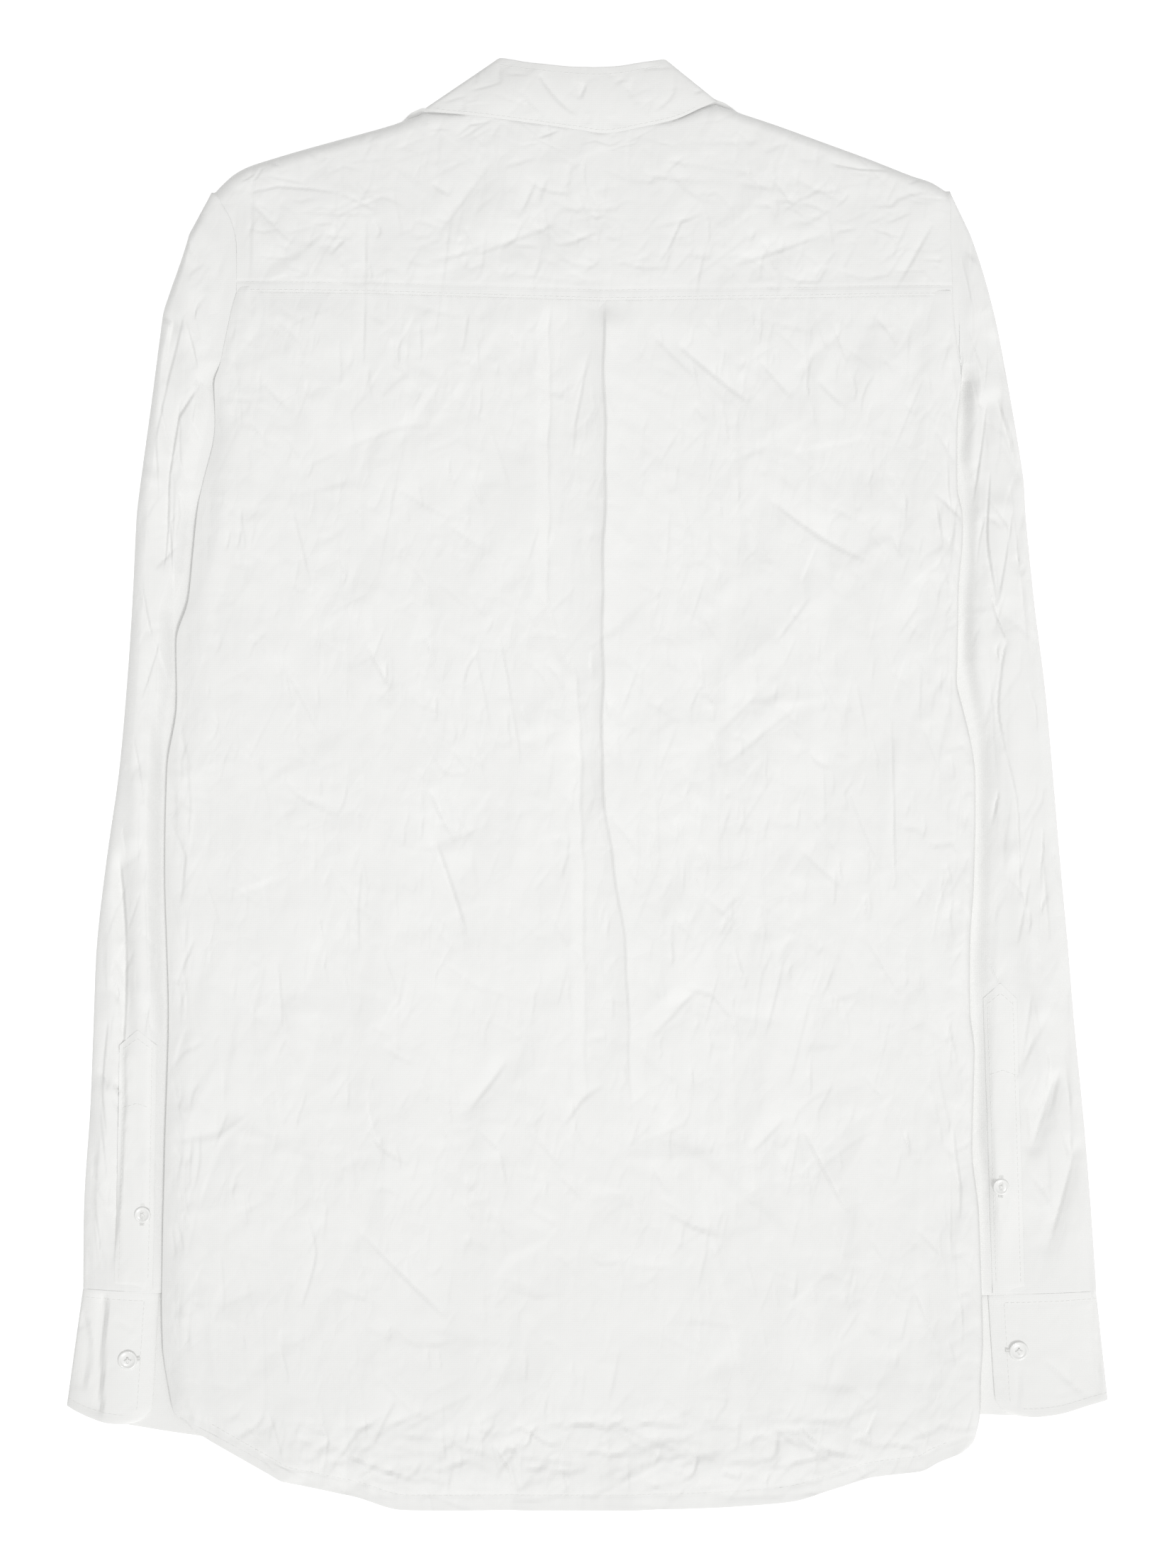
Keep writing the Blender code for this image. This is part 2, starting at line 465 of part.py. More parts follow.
def front_outline(side):
    """Plan lines of one front: hem, shoulder, side edge with the armhole, centre edge with the neckline."""
    shoulder = SHOULDER_LEFT if side == LEFT else SHOULDER_RIGHT[::-1]
    neckline = NECKLINE_LEFT if side == LEFT else NECKLINE_RIGHT
    outline = BACK_LEFT if side == LEFT else BACK_RIGHT
    centre_x = neckline[-1][0]
    top = tuple((x - side * FRONT_INSET, y - FRONT_INSET) for x, y in shoulder[:-1]) + neckline[:1]
    armhole = tuple((x - side * ARMHOLE_INSET, y + ARMHOLE_INSET) for x, y in ARMHOLE_LOWER[side][:-1])
    body_side = tuple((x - side * FRONT_INSET, y) for x, y in outline if y < UNDERARM_Y - 8)
    side_edge = body_side + armhole + top[:1]
    hem = tuple((x, y + FRONT_INSET) for x, y in HEM if side * (x - centre_x) > 14.0)
    hem = hem if side == LEFT else hem[::-1]
    hem = side_edge[:1] + hem[1:] + ((centre_x, HEM[5][1] + FRONT_INSET),)
    return hem, top, side_edge, hem[-1:] + neckline[::-1]


def make_front(side, name):
    """A front panel, flat on the floor and raised where a sleeve or the placket lies under it."""
    hem, top, side_edge, centre_edge = front_outline(side)
    u, v = np.meshgrid(corner_shares(hem, 13.0), corner_shares(side_edge, 25.0))
    plan = patch(hem, top, side_edge, centre_edge, u, v)
    x, y = plan[..., 0], plan[..., 1]
    height = front_lift(x, y, side) + WALL
    add_cloth(name, np.stack([x, y, height], axis=-1), flip=side == RIGHT)


def make_front_placket():
    """The left front's button band, held off the floor by its buttons."""
    left = FRONT_CENTRE - PLACKET_WIDTH / 2
    x, y = np.meshgrid((left, left + PLACKET_WIDTH), (HEM[5][1] + 1.2, NECKLINE_LEFT[-1][1] - 0.6))
    height = np.full_like(x, PLACKET_LIFT + WALL)
    add_cloth("front_placket", np.stack([x, y, height], axis=-1), BAND_COLOUR)


def make_collar():
    """The stand collar: one band round the neck, its lower front end lapped by the other."""
    table = np.array(COLLAR)
    share = spread(0.0, 1.0, 5)[:, None]
    x = mix(table[:, 0], table[:, 2], share)
    y = mix(table[:, 1], table[:, 3], share)
    on_top = smooth(4.0, 8.0, table[:, 4]) * (table[:, 1] > NECKLINE_LEFT[2][1])
    height = table[:, 4] - COLLAR_EDGE_DROP * share**2 * on_top
    add_cloth("collar", np.stack([x, y, height], axis=-1), BAND_COLOUR)


def ring_line(side, t):
    """A line across the flattened sleeve in plan, which meets both of its folds squarely."""
    ends = []
    for fold, mirror, turn, share in ((SLEEVE_OUTER[side], 1, 1, t), (SLEEVE_INNER, side, -1, t**INNER_PACE)):
        end = along(fold, share) * (mirror, 1)
        ahead = min(share + 0.01, 1.0)
        step = along(fold, ahead) * (mirror, 1) - along(fold, ahead - 0.02) * (mirror, 1)
        inwards = turn * side * np.array((step[1], -step[0])) / math.hypot(*step)
        ends.append((end, end + RING_HANDLE * inwards))
    (outer, outer_handle), (inner, inner_handle) = ends
    s = np.linspace(0.0, 1.0, 161)[:, None]
    line = (1 - s) ** 3 * outer + 3 * s * (1 - s) ** 2 * outer_handle
    line = line + 3 * s**2 * (1 - s) * inner_handle + s**3 * inner
    line[:, 0] += side * RING_BOW * max(0.0, 1 - t / RING_BOW_REACH) ** 2 * np.sin(math.pi * s[:, 0])
    return line


def ring_distances(side, line):
    """Distances along a ring's line: close together at both folds, and one where it dips under the body."""
    lengths = np.concatenate([[0.0], np.cumsum(np.hypot(*np.diff(line, axis=0).T))])
    open_part = side * line[:, 0] - body_edge_reach(side, line[:, 1]) > GROOVE_START
    edge = lengths[open_part].max()
    inner = lengths[-1]
    under_body = mix(edge, inner, np.array((0.35, 0.7)))
    inner_fold = inner - np.array((9.0, 3.5, 1.2, 0.0))
    return np.concatenate([(0.0, 1.2, 4.0), spread(8.0, edge, 6), under_body, inner_fold])


def sleeve_rings(side):
    """Rings of the flattened sleeve: over the top from the outer to the inner fold and back below."""
    rings = []
    for ring in range(RING_COUNT):
        upper_line = lower_line = ring_line(side, ring / (RING_COUNT - 1))
        length = np.hypot(*np.diff(upper_line, axis=0).T).sum()
        if ring > 0:
            distance = ring_distances(side, upper_line)
        else:
            upper_line, lower_line = np.array(ARMHOLE_UPPER[side]), np.array(ARMHOLE_LOWER[side])[::-1]
            length = np.hypot(*np.diff(upper_line, axis=0).T).sum()
            distance = spread(0.0, length, 15)
        under = np.array((0.992, 0.96, 0.7, 0.4, 0.1, 0.01))
        upper = along(upper_line, distance / length)
        lower = along(lower_line, under)
        top = sleeve_top(side, upper[:, 0], upper[:, 1], distance)
        top = top * mix(1.0, 0.5, smooth(3.5, 0.0, length - distance))
        floor = np.where(under > 0.99, 0.5, 0.0) + np.where(under < 0.02, 0.8, 0.0)
        rings.append(np.concatenate([np.column_stack([upper, top]), np.column_stack([lower, floor])]))
    return np.array(rings)


def make_sleeve(side, name):
    add_cloth(name, sleeve_rings(side), closed=True, flip=side == LEFT)


def make_cuff(side, name):
    """The cuff band, lapped over itself, with a rounded free corner at the cuff's edge."""
    table = np.array(CUFFS[side])
    share = np.array((0.0, 0.3, 0.6, 0.82, 0.93, 1.0))[:, None]
    seam_inner, seam_outer = CUFF_SEAM[side]
    seam_y = np.interp(np.abs(table[:, 0]), (184.0, 295.0), (seam_inner, seam_outer))
    length = seam_y[0] - table[0, 2]
    into_corner = np.clip((share * length - (length - CUFF_CORNER)) / CUFF_CORNER, 0.0, 1.0)
    cut = CUFF_CORNER * (1 - np.sqrt(1 - 0.98 * into_corner**2))
    from_end = np.abs(table[:, 0] - table[0, 0]) / CUFF_CORNER_REACH
    lapped = np.arange(len(table)) < 5
    x = mix(table[:, 0], table[:, 1], share) + side * cut * np.clip(1 - from_end, 0.0, 1.0) * lapped
    y = mix(seam_y, table[:, 2], share)
    height = np.broadcast_to(table[:, 3], x.shape)
    add_cloth(name, np.stack([x, y, height], axis=-1), BAND_COLOUR, flip=side == RIGHT)


def placket_height(side, x, y):
    """The outer face of a strip of cloth that lies on the sleeve's facets."""
    rings = sleeve_rings(side)
    rows, columns = rings.shape[:2]
    faces = [(row * columns + column, row * columns + column + 1,
              (row + 1) * columns + column + 1, (row + 1) * columns + column)
             for row in range(rows - 1) for column in range(columns - 1)]
    sleeve = BVHTree.FromPolygons(rings.reshape(-1, 3).tolist(), faces)
    heights = []
    for px, py in zip(np.ravel(x), np.ravel(y)):
        starts = [Vector((px + dx, py + dy, 50.0)) for dx in STRIP_REACH_X for dy in STRIP_REACH_Y]
        hits = [sleeve.ray_cast(start, Vector((0, 0, -1)))[0] for start in starts]
        heights.append(max(hit.z for hit in hits if hit))
    return np.reshape(heights, np.shape(x)) + STRIP_GAP + WALL


def make_sleeve_placket(side, name):
    """A straight strip with a low peak, laid on the sleeve above the cuff."""
    shape = SLEEVE_PLACKET[side]
    share = spread(0.0, 1.0, 13)[:, None]
    across = spread(0.0, 1.0, 5)
    x = mix(mix(*shape["top"], across), mix(*shape["end"], across), share)
    peak = PLACKET_PEAK * (1 - np.abs(2 * across - 1)) * (1 - share) ** 3
    y = mix(shape["y_top"], shape["y_end"], share) + peak
    height = placket_height(side, x, y)
    add_cloth(name, np.stack([x, y, height], axis=-1), BAND_COLOUR, flip=True)


def make_button(name, centre, diameter, sides, face_up=True):
    """A turned button with a raised rim and a dished face, its underside at centre."""
    radius = diameter / 2
    rim = 0.8 * radius
    dish = 0.62 * radius
    profile = [(0.72 * radius, 0.0), (radius, 0.35 * BUTTON_THICKNESS), (radius, 0.7 * BUTTON_THICKNESS),
               (rim, BUTTON_THICKNESS), (dish, 0.72 * BUTTON_THICKNESS)]
    vertices, faces = [], []
    for r, z in profile:
        for step in range(sides):
            angle = 2 * math.pi * step / sides
            level = z if face_up else BUTTON_THICKNESS - z
            vertices.append((r * math.cos(angle), r * math.sin(angle), level))
    for ring in range(len(profile) - 1):
        for step in range(sides):
            beside = (step + 1) % sides
            face = (ring * sides + step, ring * sides + beside,
                    (ring + 1) * sides + beside, (ring + 1) * sides + step)
            faces.append(face if face_up else face[::-1])
    first = tuple(range(sides))[::-1]
    last = tuple(range((len(profile) - 1) * sides, len(profile) * sides))
    faces.extend((first, last) if face_up else (first[::-1], last[::-1]))
    thing = add_object(name, vertices, faces, BUTTON_COLOUR, 0.35)
    thing.data.set_sharp_from_angle(angle=math.radians(50))
    thing.location = Vector(centre) * MM


def make_sleeve_buttons():
    for side, word in ((LEFT, "left"), (RIGHT, "right")):
        x, y = {LEFT: (-257.3, -249.1), RIGHT: (239.0, -232.7)}[side]
        seat = float(np.max(placket_height(side, x + np.linspace(-4.8, 4.8, 7), np.full(7, y))))
        make_button(f"placket_button_{word}", (x, y, seat + SEAM_GAP), PLACKET_BUTTON, 16)
        x, y = {LEFT: (-265.9, -333.1), RIGHT: (249.5, -327.8)}[side]
        make_button(f"cuff_button_{word}", (x, y, 7.2 + SEAM_GAP), CUFF_BUTTON, 16)


def make_front_buttons():
    """The closing buttons under the placket and, first, the one under the collar band."""
    places = [NECK_BUTTON_Y] + [FIRST_BUTTON_Y - BUTTON_PITCH * index for index in range(FRONT_BUTTONS)]
    for index, y in enumerate(places):
        name = "collar_button" if index == 0 else f"front_button_{index}"
        make_button(name, (FRONT_CENTRE, y, BUTTON_FLOOR_GAP), FRONT_BUTTON, 12, face_up=False)


def main():
    for thing in list(bpy.data.objects):
        bpy.data.objects.remove(thing, do_unlink=True)
    make_back()
    make_yoke()
    make_front(LEFT, "front_left")
    make_front(RIGHT, "front_right")
    make_front_placket()
    make_collar()
    for side, word in ((LEFT, "left"), (RIGHT, "right")):
        make_sleeve(side, f"sleeve_{word}")
        make_cuff(side, f"cuff_{word}")
        make_sleeve_placket(side, f"sleeve_placket_{word}")
    make_sleeve_buttons()
    make_front_buttons()


main()
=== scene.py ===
"""The crumpled shirt laid on its front, dressed and lit to match the photograph.

Sizes are in millimetres until a mesh is made. X runs right, Y towards the collar and
Z up out of the back. Side -1 is the wearer's left, which is the left of the picture.
"""

import math

import bpy
import numpy as np
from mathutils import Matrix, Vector
from mathutils.bvhtree import BVHTree


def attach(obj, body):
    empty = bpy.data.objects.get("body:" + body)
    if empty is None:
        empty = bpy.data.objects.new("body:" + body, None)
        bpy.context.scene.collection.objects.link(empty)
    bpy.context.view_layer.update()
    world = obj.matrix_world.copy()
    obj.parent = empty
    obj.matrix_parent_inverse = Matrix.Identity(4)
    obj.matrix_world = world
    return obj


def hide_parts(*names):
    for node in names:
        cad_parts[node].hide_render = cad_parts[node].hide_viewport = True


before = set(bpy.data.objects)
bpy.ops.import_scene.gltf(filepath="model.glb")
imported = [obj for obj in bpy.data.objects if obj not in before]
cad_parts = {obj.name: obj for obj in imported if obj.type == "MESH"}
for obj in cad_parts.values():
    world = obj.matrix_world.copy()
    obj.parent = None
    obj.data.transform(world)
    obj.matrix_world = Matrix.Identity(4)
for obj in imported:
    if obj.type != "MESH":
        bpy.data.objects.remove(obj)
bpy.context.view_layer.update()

MM = 0.001
LEFT, RIGHT = -1, 1
LIGHT_SIDE = np.array((0.32, -0.95))

# Heights and widths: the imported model's, but for the seam's height, the sides' rolls and the sleeves' grooves
BODY_TOP, SEAM_TOP, ARMHOLE_TOP = 9.6, 9.1, 8.0
ROLL_END, SHOULDER_END, HEM_END = 5.4, 1.9, 4.2
SLEEVE_TOP = ((-295.0, -240.0, -100.0), (6.4, 7.0, 9.0))
TUCKED_OPEN, TUCKED, OVER_SLEEVE = {LEFT: 5.2, RIGHT: 2.6}, 3.2, 3.6
LEFT_RISE = 0.3
PLACKET_LIFT, OVERLAP_LIFT = 2.4, 3.9
ROLL_WIDTH, SLEEVE_ROLL, LEFT_SLOPE = 8.5, 7.0, 15.0
LEFT_ROLL, RIGHT_ROLL = 15.0, 5.5
GROOVE = {LEFT: (1.5, 11.0), RIGHT: (0.8, 15.5)}
GROOVE_START = 1.0
SEAM_FADE, HEM_FADE = 16.0, 24.0
LIFT_START, LIFT_END = 11.0, 28.0
EDGE_REACH = (-16.0, -8.0, 0.0, 8.0, 16.0)
FRONT_INSET, ARMHOLE_INSET = 1.2, 0.9
CENTRE_REACH, CENTRE_FADE = 10.0, 26.0
FRONT_CENTRE, PLACKET_WIDTH = -4.0, 34.0

# Outlines of the body: x, y
BACK_LEFT = (
    (-227.8, -374.1), (-233.1, -366.7), (-239.2, -363.5), (-242.1, -349.5), (-245.4, -327.8),
    (-246.2, -292.9), (-244.2, -206.4), (-242.1, -132.6), (-244.2, -54.7), (-242.9, 10.5),
    (-237.6, 43.3), (-237.6, 84.3), (-231.0, 105.6), (-227.8, 136.3), (-225.3, 160.1),
    (-221.6, 177.3), (-215.9, 201.1), (-215.5, 231.9), (-212.2, 242.9), (-208.9, 258.5),
    (-205.2, 275.7), (-202.7, 284.0),
)
BACK_RIGHT = (
    (218.3, -386.0), (223.7, -380.3), (227.3, -365.1), (227.8, -343.8), (229.0, -320.8),
    (226.5, -246.6), (222.8, -213.4), (224.1, -154.4), (221.6, -132.6), (221.6, -89.2),
    (223.7, -56.8), (224.1, 10.5), (214.2, 56.0), (214.2, 71.1), (215.0, 114.6),
    (217.1, 138.4), (217.1, 156.0), (214.2, 171.2), (214.2, 208.1), (215.9, 235.1),
    (213.8, 250.7), (212.2, 266.3), (210.9, 281.8),
)
HEM = (
    (-227.8, -374.1), (-184.7, -398.3), (-175.7, -403.2), (-133.5, -412.7), (-107.6, -420.0),
    (-10.9, -420.0), (71.5, -418.8), (118.3, -415.1), (142.1, -408.2), (165.4, -401.2),
    (193.3, -397.5), (203.2, -392.2), (218.3, -386.0),
)
YOKE_SEAM = (
    (-202.7, 284.0), (-126.1, 283.1), (8.8, 279.0), (123.6, 280.6), (176.9, 281.6), (210.9, 281.8),
)
YOKE_LEFT = ((-202.7, 284.3), (-202.7, 311.8), (-206.0, 326.2), (-212.2, 336.8), (-216.3, 342.0))
YOKE_RIGHT = ((210.9, 282.1), (210.5, 299.1), (209.7, 318.0), (209.7, 336.0), (208.2, 342.8))
SHOULDER_LEFT = (
    (-216.3, 342.0), (-206.0, 352.0), (-195.0, 358.1), (-169.9, 365.9), (-147.8, 372.1),
    (-117.9, 380.3), (-98.5, 386.6),
)
NECK_SEAM = (
    (-95.3, 388.0), (-71.1, 386.4), (-49.4, 383.6), (-28.1, 380.7), (-7.6, 377.8),
    (10.9, 375.4), (29.7, 378.6), (51.0, 383.6), (66.0, 390.3), (74.5, 393.2),
)
SHOULDER_RIGHT = (
    (78.5, 391.8), (107.6, 382.3), (139.2, 370.8), (162.6, 362.2), (186.3, 352.8),
    (198.6, 348.7), (208.2, 342.8),
)
NECKLINE_LEFT = ((-97.6, 385.4), (-94.8, 371.0), (-85.4, 349.0), (-68.4, 327.8), (-51.4, 315.4),
                 (-34.6, 307.6), (-21.3, 305.0))
NECKLINE_RIGHT = ((77.6, 390.8), (74.2, 371.4), (66.0, 350.4), (50.0, 329.8), (35.4, 316.6),
                  (16.6, 306.6), (-14.0, 303.8))
# The inverted pleat: y, left fold's x, right fold's x, depth
PLEAT = (
    (284.0, -23.2, 11.5, 0.0), (281.0, -23.2, 11.5, 0.9), (268.0, -23.2, 11.3, 2.7),
    (106.4, -24.4, 10.4, 2.3), (77.0, -16.0, 10.0, 2.3), (60.1, -7.2, 9.6, 2.3),
    (8.0, -5.6, 9.2, 2.3), (-46.9, -4.3, 16.6, 2.2),
    (-90.4, -3.6, 21.9, 1.9), (-171.2, -2.6, 26.0, 0.9), (-200.0, -2.4, 27.0, 0.0),
    (-430.0, -2.4, 27.0, 0.0),
)
PLEAT_ROLL, PLEAT_EDGE_WIDTH, PLEAT_STEP = 6.0, 7.0, 1.7
PLEAT_STRENGTH = 1.35
HEM_CENTRE_Y = HEM[5][1]
# Largest creases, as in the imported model: x, y, x, y, half width, rise
BODY_CREASES = (
    (-195, 337, -170, 312, 7, -1.6), (-57, 357, -87, 317, 7, -1.5), (-70, 306, -16, 324, 8, -2.0),
    (84, 299, 138, 318, 8, -2.2), (178, 286, 200, 324, 8, -2.0), (117, 351, 149, 335, 7, -1.4),
    (-140, 339, -104, 328, 7, 1.3), (53, 254, 94, 220, 8, -2.2), (99, 245, 118, 223, 7, -1.6),
    (107, 163, 163, 128, 8, -2.3), (109, 82, 129, 108, 8, 1.8), (172, 213, 172, 104, 10, 1.5),
    (75, 28, 98, 52, 8, -1.9), (79, 11, 119, 43, 8, -2.2), (122, -37, 148, -61, 8, -1.8),
    (150, -2, 170, -50, 8, 1.7), (161, -89, 181, -122, 8, -1.8), (103, -146, 114, -100, 8, -1.8),
    (38, -146, 64, -117, 8, -2.2), (125, -200, 150, -247, 8, -2.4), (95, -213, 113, -193, 8, -1.8),
    (129, -293, 152, -289, 8, 1.6), (189, -293, 202, -323, 8, -1.8), (24, -278, 51, -280, 8, -1.6),
    (-138, 194, -91, 206, 8, -1.9), (-187, 231, -170, 214, 7, -1.7), (-170, 158, -160, 115, 8, 1.7),
    (-127, 90, -115, 58, 8, -1.9), (-150, 97, -126, 110, 7, 1.4), (-79, 149, -62, 136, 7, -1.5),
    (-127, 80, -113, 55, 8, -1.8), (-173, 65, -153, 28, 8, -2.1), (-168, -6, -145, -18, 8, -1.7),
    (-90, 0, -77, -33, 9, 1.9), (-87, -33, -70, -86, 8, -2.3), (-178, -104, -177, -140, 8, -1.7),
    (-68, -187, -47, -161, 7, -2.2), (-24, -121, -11, -104, 7, -1.4), (-128, -177, -105, -220, 8, 1.8),
    (-131, -259, -81, -309, 8, -2.3), (-162, -249, -165, -302, 9, 1.8), (-209, -300, -192, -293, 8, -1.6),
    (-114, -313, -75, -321, 8, -1.7), (-216, -211, -207, -192, 8, -1.8), (-50, -215, -47, -232, 7, -1.5),
    (-81, -370, -58, -387, 8, -2.0), (-58, -384, 8, -394, 8, -1.9), (-122, -340, -84, -369, 8, 1.7),
    (12, -406, 50, -388, 8, 1.8), (50, -388, 79, -396, 8, 1.6), (107, -405, 145, -388, 8, -1.9),
    (81, -415, 95, -396, 7, -1.5), (-157, -361, -150, -380, 8, -1.6), (60, -340, 96, -333, 10, -1.4),
)

# Sleeves
SLEEVE_OUTER = {
    LEFT: (
        (-217.6, 342.4), (-226.5, 330.7), (-234.3, 305.7), (-242.1, 283.5), (-245.8, 271.2),
        (-251.5, 226.9), (-258.1, 178.6), (-261.0, 154.0), (-263.4, 104.8), (-266.7, 55.6),
        (-271.2, 6.4), (-278.2, -42.8), (-283.9, -92.0), (-286.0, -141.2), (-288.0, -190.4),
        (-291.3, -239.6), (-292.0, -291.8),
    ),
    RIGHT: (
        (209.8, 343.2), (217.5, 329.0), (225.3, 308.5), (231.9, 286.8), (238.0, 261.8),
        (245.0, 224.1), (252.4, 178.6), (254.0, 154.0), (258.9, 104.8), (265.1, 55.6),
        (269.6, 6.4), (273.7, -42.8), (278.2, -92.0), (282.3, -141.2), (287.2, -190.4),
        (291.3, -239.6), (295.0, -293.4),
    ),
}
SLEEVE_INNER = (
    (188.0, 150.0), (184.0, 132.0), (176.0, 112.0), (163.0, 88.0), (149.0, 62.0), (138.0, 34.0),
    (130.0, 2.0), (126.0, -35.0), (125.0, -90.0), (130.0, -160.0), (146.0, -228.0), (184.0, -296.8),
)
CUFF_INNER_END = (180.0, -392.0)
ARMHOLE_UPPER = {
    LEFT: ((-217.6, 342.4), (-212.8, 336.6), (-206.9, 326.4), (-203.7, 311.8), (-203.5, 289.0),
           (-205.9, 275.7), (-209.7, 258.5), (-213.0, 242.9), (-215.0, 231.9), (-214.0, 212.0),
           (-211.0, 190.0), (-206.0, 170.0), (-198.0, 157.0), (-188.0, 150.0)),
    RIGHT: ((209.8, 343.2), (210.8, 336.0), (210.7, 318.0), (211.4, 299.1), (211.8, 281.8),
            (213.1, 266.3), (214.9, 250.7), (216.3, 236.0), (214.0, 212.0), (210.0, 190.0),
            (205.0, 170.0), (197.5, 157.0), (188.0, 150.0)),
}
ARMHOLE_LOWER = {
    LEFT: ((-188, 150), (-184, 165), (-183, 190), (-184, 220), (-187, 250), (-192, 282),
           (-199, 312), (-207, 331), (-217.6, 342.4)),
    RIGHT: ((188, 150), (184, 165), (183, 190), (184, 220), (186, 250), (190, 282),
            (197, 312), (203, 331), (209.8, 343.2)),
}
UNDERARM_Y = 150.0
FIRST_RING = 1 / 23
RING_BOW, RING_BOW_REACH, RING_HANDLE, INNER_PACE = 13.0, 0.3, 14.0, 1.6
SLEEVE_CREASES = {
    LEFT: ((-220, 229, -218, 205, 5, -2.0), (-231, 290, -233, 262, 7, 1.8), (-247, 250, -252, 190, 6, 1.6),
           (-254, 175, -262, -30, 7, 2.0), (-270, -46, -266, -150, 5, -2.2), (-270, 60, -276, -60, 5, 1.2),
           (-279, -178, -286, -280, 6, 1.8), (-257, 0, -258, -120, 6, 1.6)),
    RIGHT: ((236, 256, 246, 217, 5, -2.0), (231, 219, 223, 162, 5, -1.8), (237, 223, 250, 180, 5, -1.8),
            (238, 160, 240, 110, 7, 2.0), (241, 84, 246, -40, 7, 2.0), (246, -40, 262, -130, 7, 1.8),
            (270, -171, 258, -209, 5, -2.2), (282, -212, 267, -268, 5, -2.0), (222, 300, 228, 275, 7, 1.5)),
}
SLEEVE_PLACKET = {
    LEFT: dict(top=(-270.5, -249.0), end=(-273.5, -251.5), y_top=-151.0, y_end=-291.4),
    RIGHT: dict(top=(229.0, 248.0), end=(234.5, 253.0), y_top=-124.0, y_end=-293.6),
}
PLACKET_PEAK = 9.0
# Cuffs: x at the seam, x and y at the cuff's edge, height of the outer face
CUFFS = {
    LEFT: (
        (-248.0, -252.5, -370.0, 5.2), (-256.0, -261.0, -370.3, 6.4), (-267.0, -274.0, -369.6, 7.2),
        (-278.0, -286.0, -367.0, 6.8), (-286.0, -295.5, -363.0, 5.6), (-290.6, -300.4, -360.4, 3.9),
        (-292.2, -301.6, -359.9, 2.2), (-290.8, -300.2, -360.5, 0.6), (-286.0, -295.0, -363.0, 0.0),
        (-265.0, -270.0, -370.0, 0.0), (-245.0, -246.0, -374.2, 0.0), (-215.0, -214.0, -379.0, 0.0),
        (-188.0, -186.0, -383.0, 0.0), (-184.0, -182.0, -383.6, 0.4), (-182.4, -180.4, -383.8, 1.6),
        (-184.0, -182.0, -383.6, 2.8), (-188.0, -186.0, -383.0, 3.2), (-215.0, -214.0, -379.0, 3.2),
        (-243.0, -244.0, -374.6, 3.2), (-262.0, -266.0, -370.9, 3.2), (-276.0, -281.0, -368.4, 3.2),
    ),
    RIGHT: (
        (232.0, 236.5, -365.2, 5.2), (242.0, 246.0, -365.9, 6.4), (256.0, 259.0, -366.0, 7.2),
        (271.0, 274.0, -364.2, 7.0), (284.0, 289.0, -359.8, 6.0), (292.2, 299.8, -357.0, 4.2),
        (295.2, 301.6, -356.4, 2.2), (293.0, 299.6, -357.0, 0.6), (287.0, 293.0, -359.2, 0.0),
        (262.0, 266.0, -365.0, 0.0), (240.0, 243.0, -365.6, 0.0), (212.0, 213.0, -364.4, 0.0),
        (190.0, 190.0, -363.6, 0.0), (186.0, 186.0, -363.4, 0.4), (184.4, 184.4, -363.4, 1.6),
        (186.0, 186.0, -363.4, 2.8), (190.0, 190.0, -363.6, 3.2), (212.0, 213.0, -364.4, 3.2),
        (238.0, 240.0, -365.4, 3.2), (258.0, 261.0, -365.4, 3.2), (273.0, 277.0, -362.6, 3.2),
    ),
}
CUFF_SEAM = {LEFT: (-297.2, -292.1), RIGHT: (-297.2, -293.7)}
CUFF_CORNER, CUFF_CORNER_REACH = 12.0, 30.0
CUFF_ROWS, CUFF_DEPTH, CUFF_SPAN = 46, 71, (184.0, 295.0)
# The collar band: x and y at the neck seam, x and y at the free edge, height of the outer face
COLLAR = (
    (13.0, 306.0, 13.0, 341.0, 2.4), (-12.0, 306.1, -10.0, 341.5, 2.4), (-34.0, 308.9, -24.0, 348.0, 1.2),
    (-50.4, 316.8, -33.0, 359.0, 0.2), (-67.4, 329.2, -40.0, 372.0, 0.0), (-84.0, 350.0, -46.0, 388.0, 0.0),
    (-93.0, 371.0, -50.0, 402.0, 0.0), (-95.6, 381.0, -52.4, 413.0, 0.9), (-96.2, 389.4, -52.0, 419.6, 3.7),
    (-93.5, 389.8, -49.0, 420.0, 6.6), (-86.0, 388.2, -44.0, 419.2, 7.7), (-71.1, 386.8, -33.8, 417.2, 8.3),
    (-49.4, 384.0, -22.0, 415.8, 8.4), (-28.1, 381.1, -10.9, 414.7, 8.4), (-7.6, 378.2, -2.0, 414.4, 8.4),
    (10.9, 375.8, 6.0, 414.3, 8.4), (29.7, 379.0, 19.5, 415.1, 8.4), (51.0, 384.0, 33.8, 417.6, 8.2),
    (65.8, 390.8, 40.5, 418.7, 7.4), (73.0, 394.2, 43.8, 419.4, 6.2), (75.6, 394.8, 46.6, 418.2, 3.7),
    (75.4, 386.0, 45.5, 411.0, 0.9), (72.4, 372.0, 43.0, 398.0, 0.2), (64.4, 351.6, 37.0, 384.0, 0.2),
    (48.8, 331.4, 29.0, 368.0, 1.0), (34.6, 318.3, 18.0, 354.0, 2.6), (16.0, 308.2, 6.0, 345.0, 3.9),
    (-21.0, 305.2, -20.0, 341.5, 3.9),
)

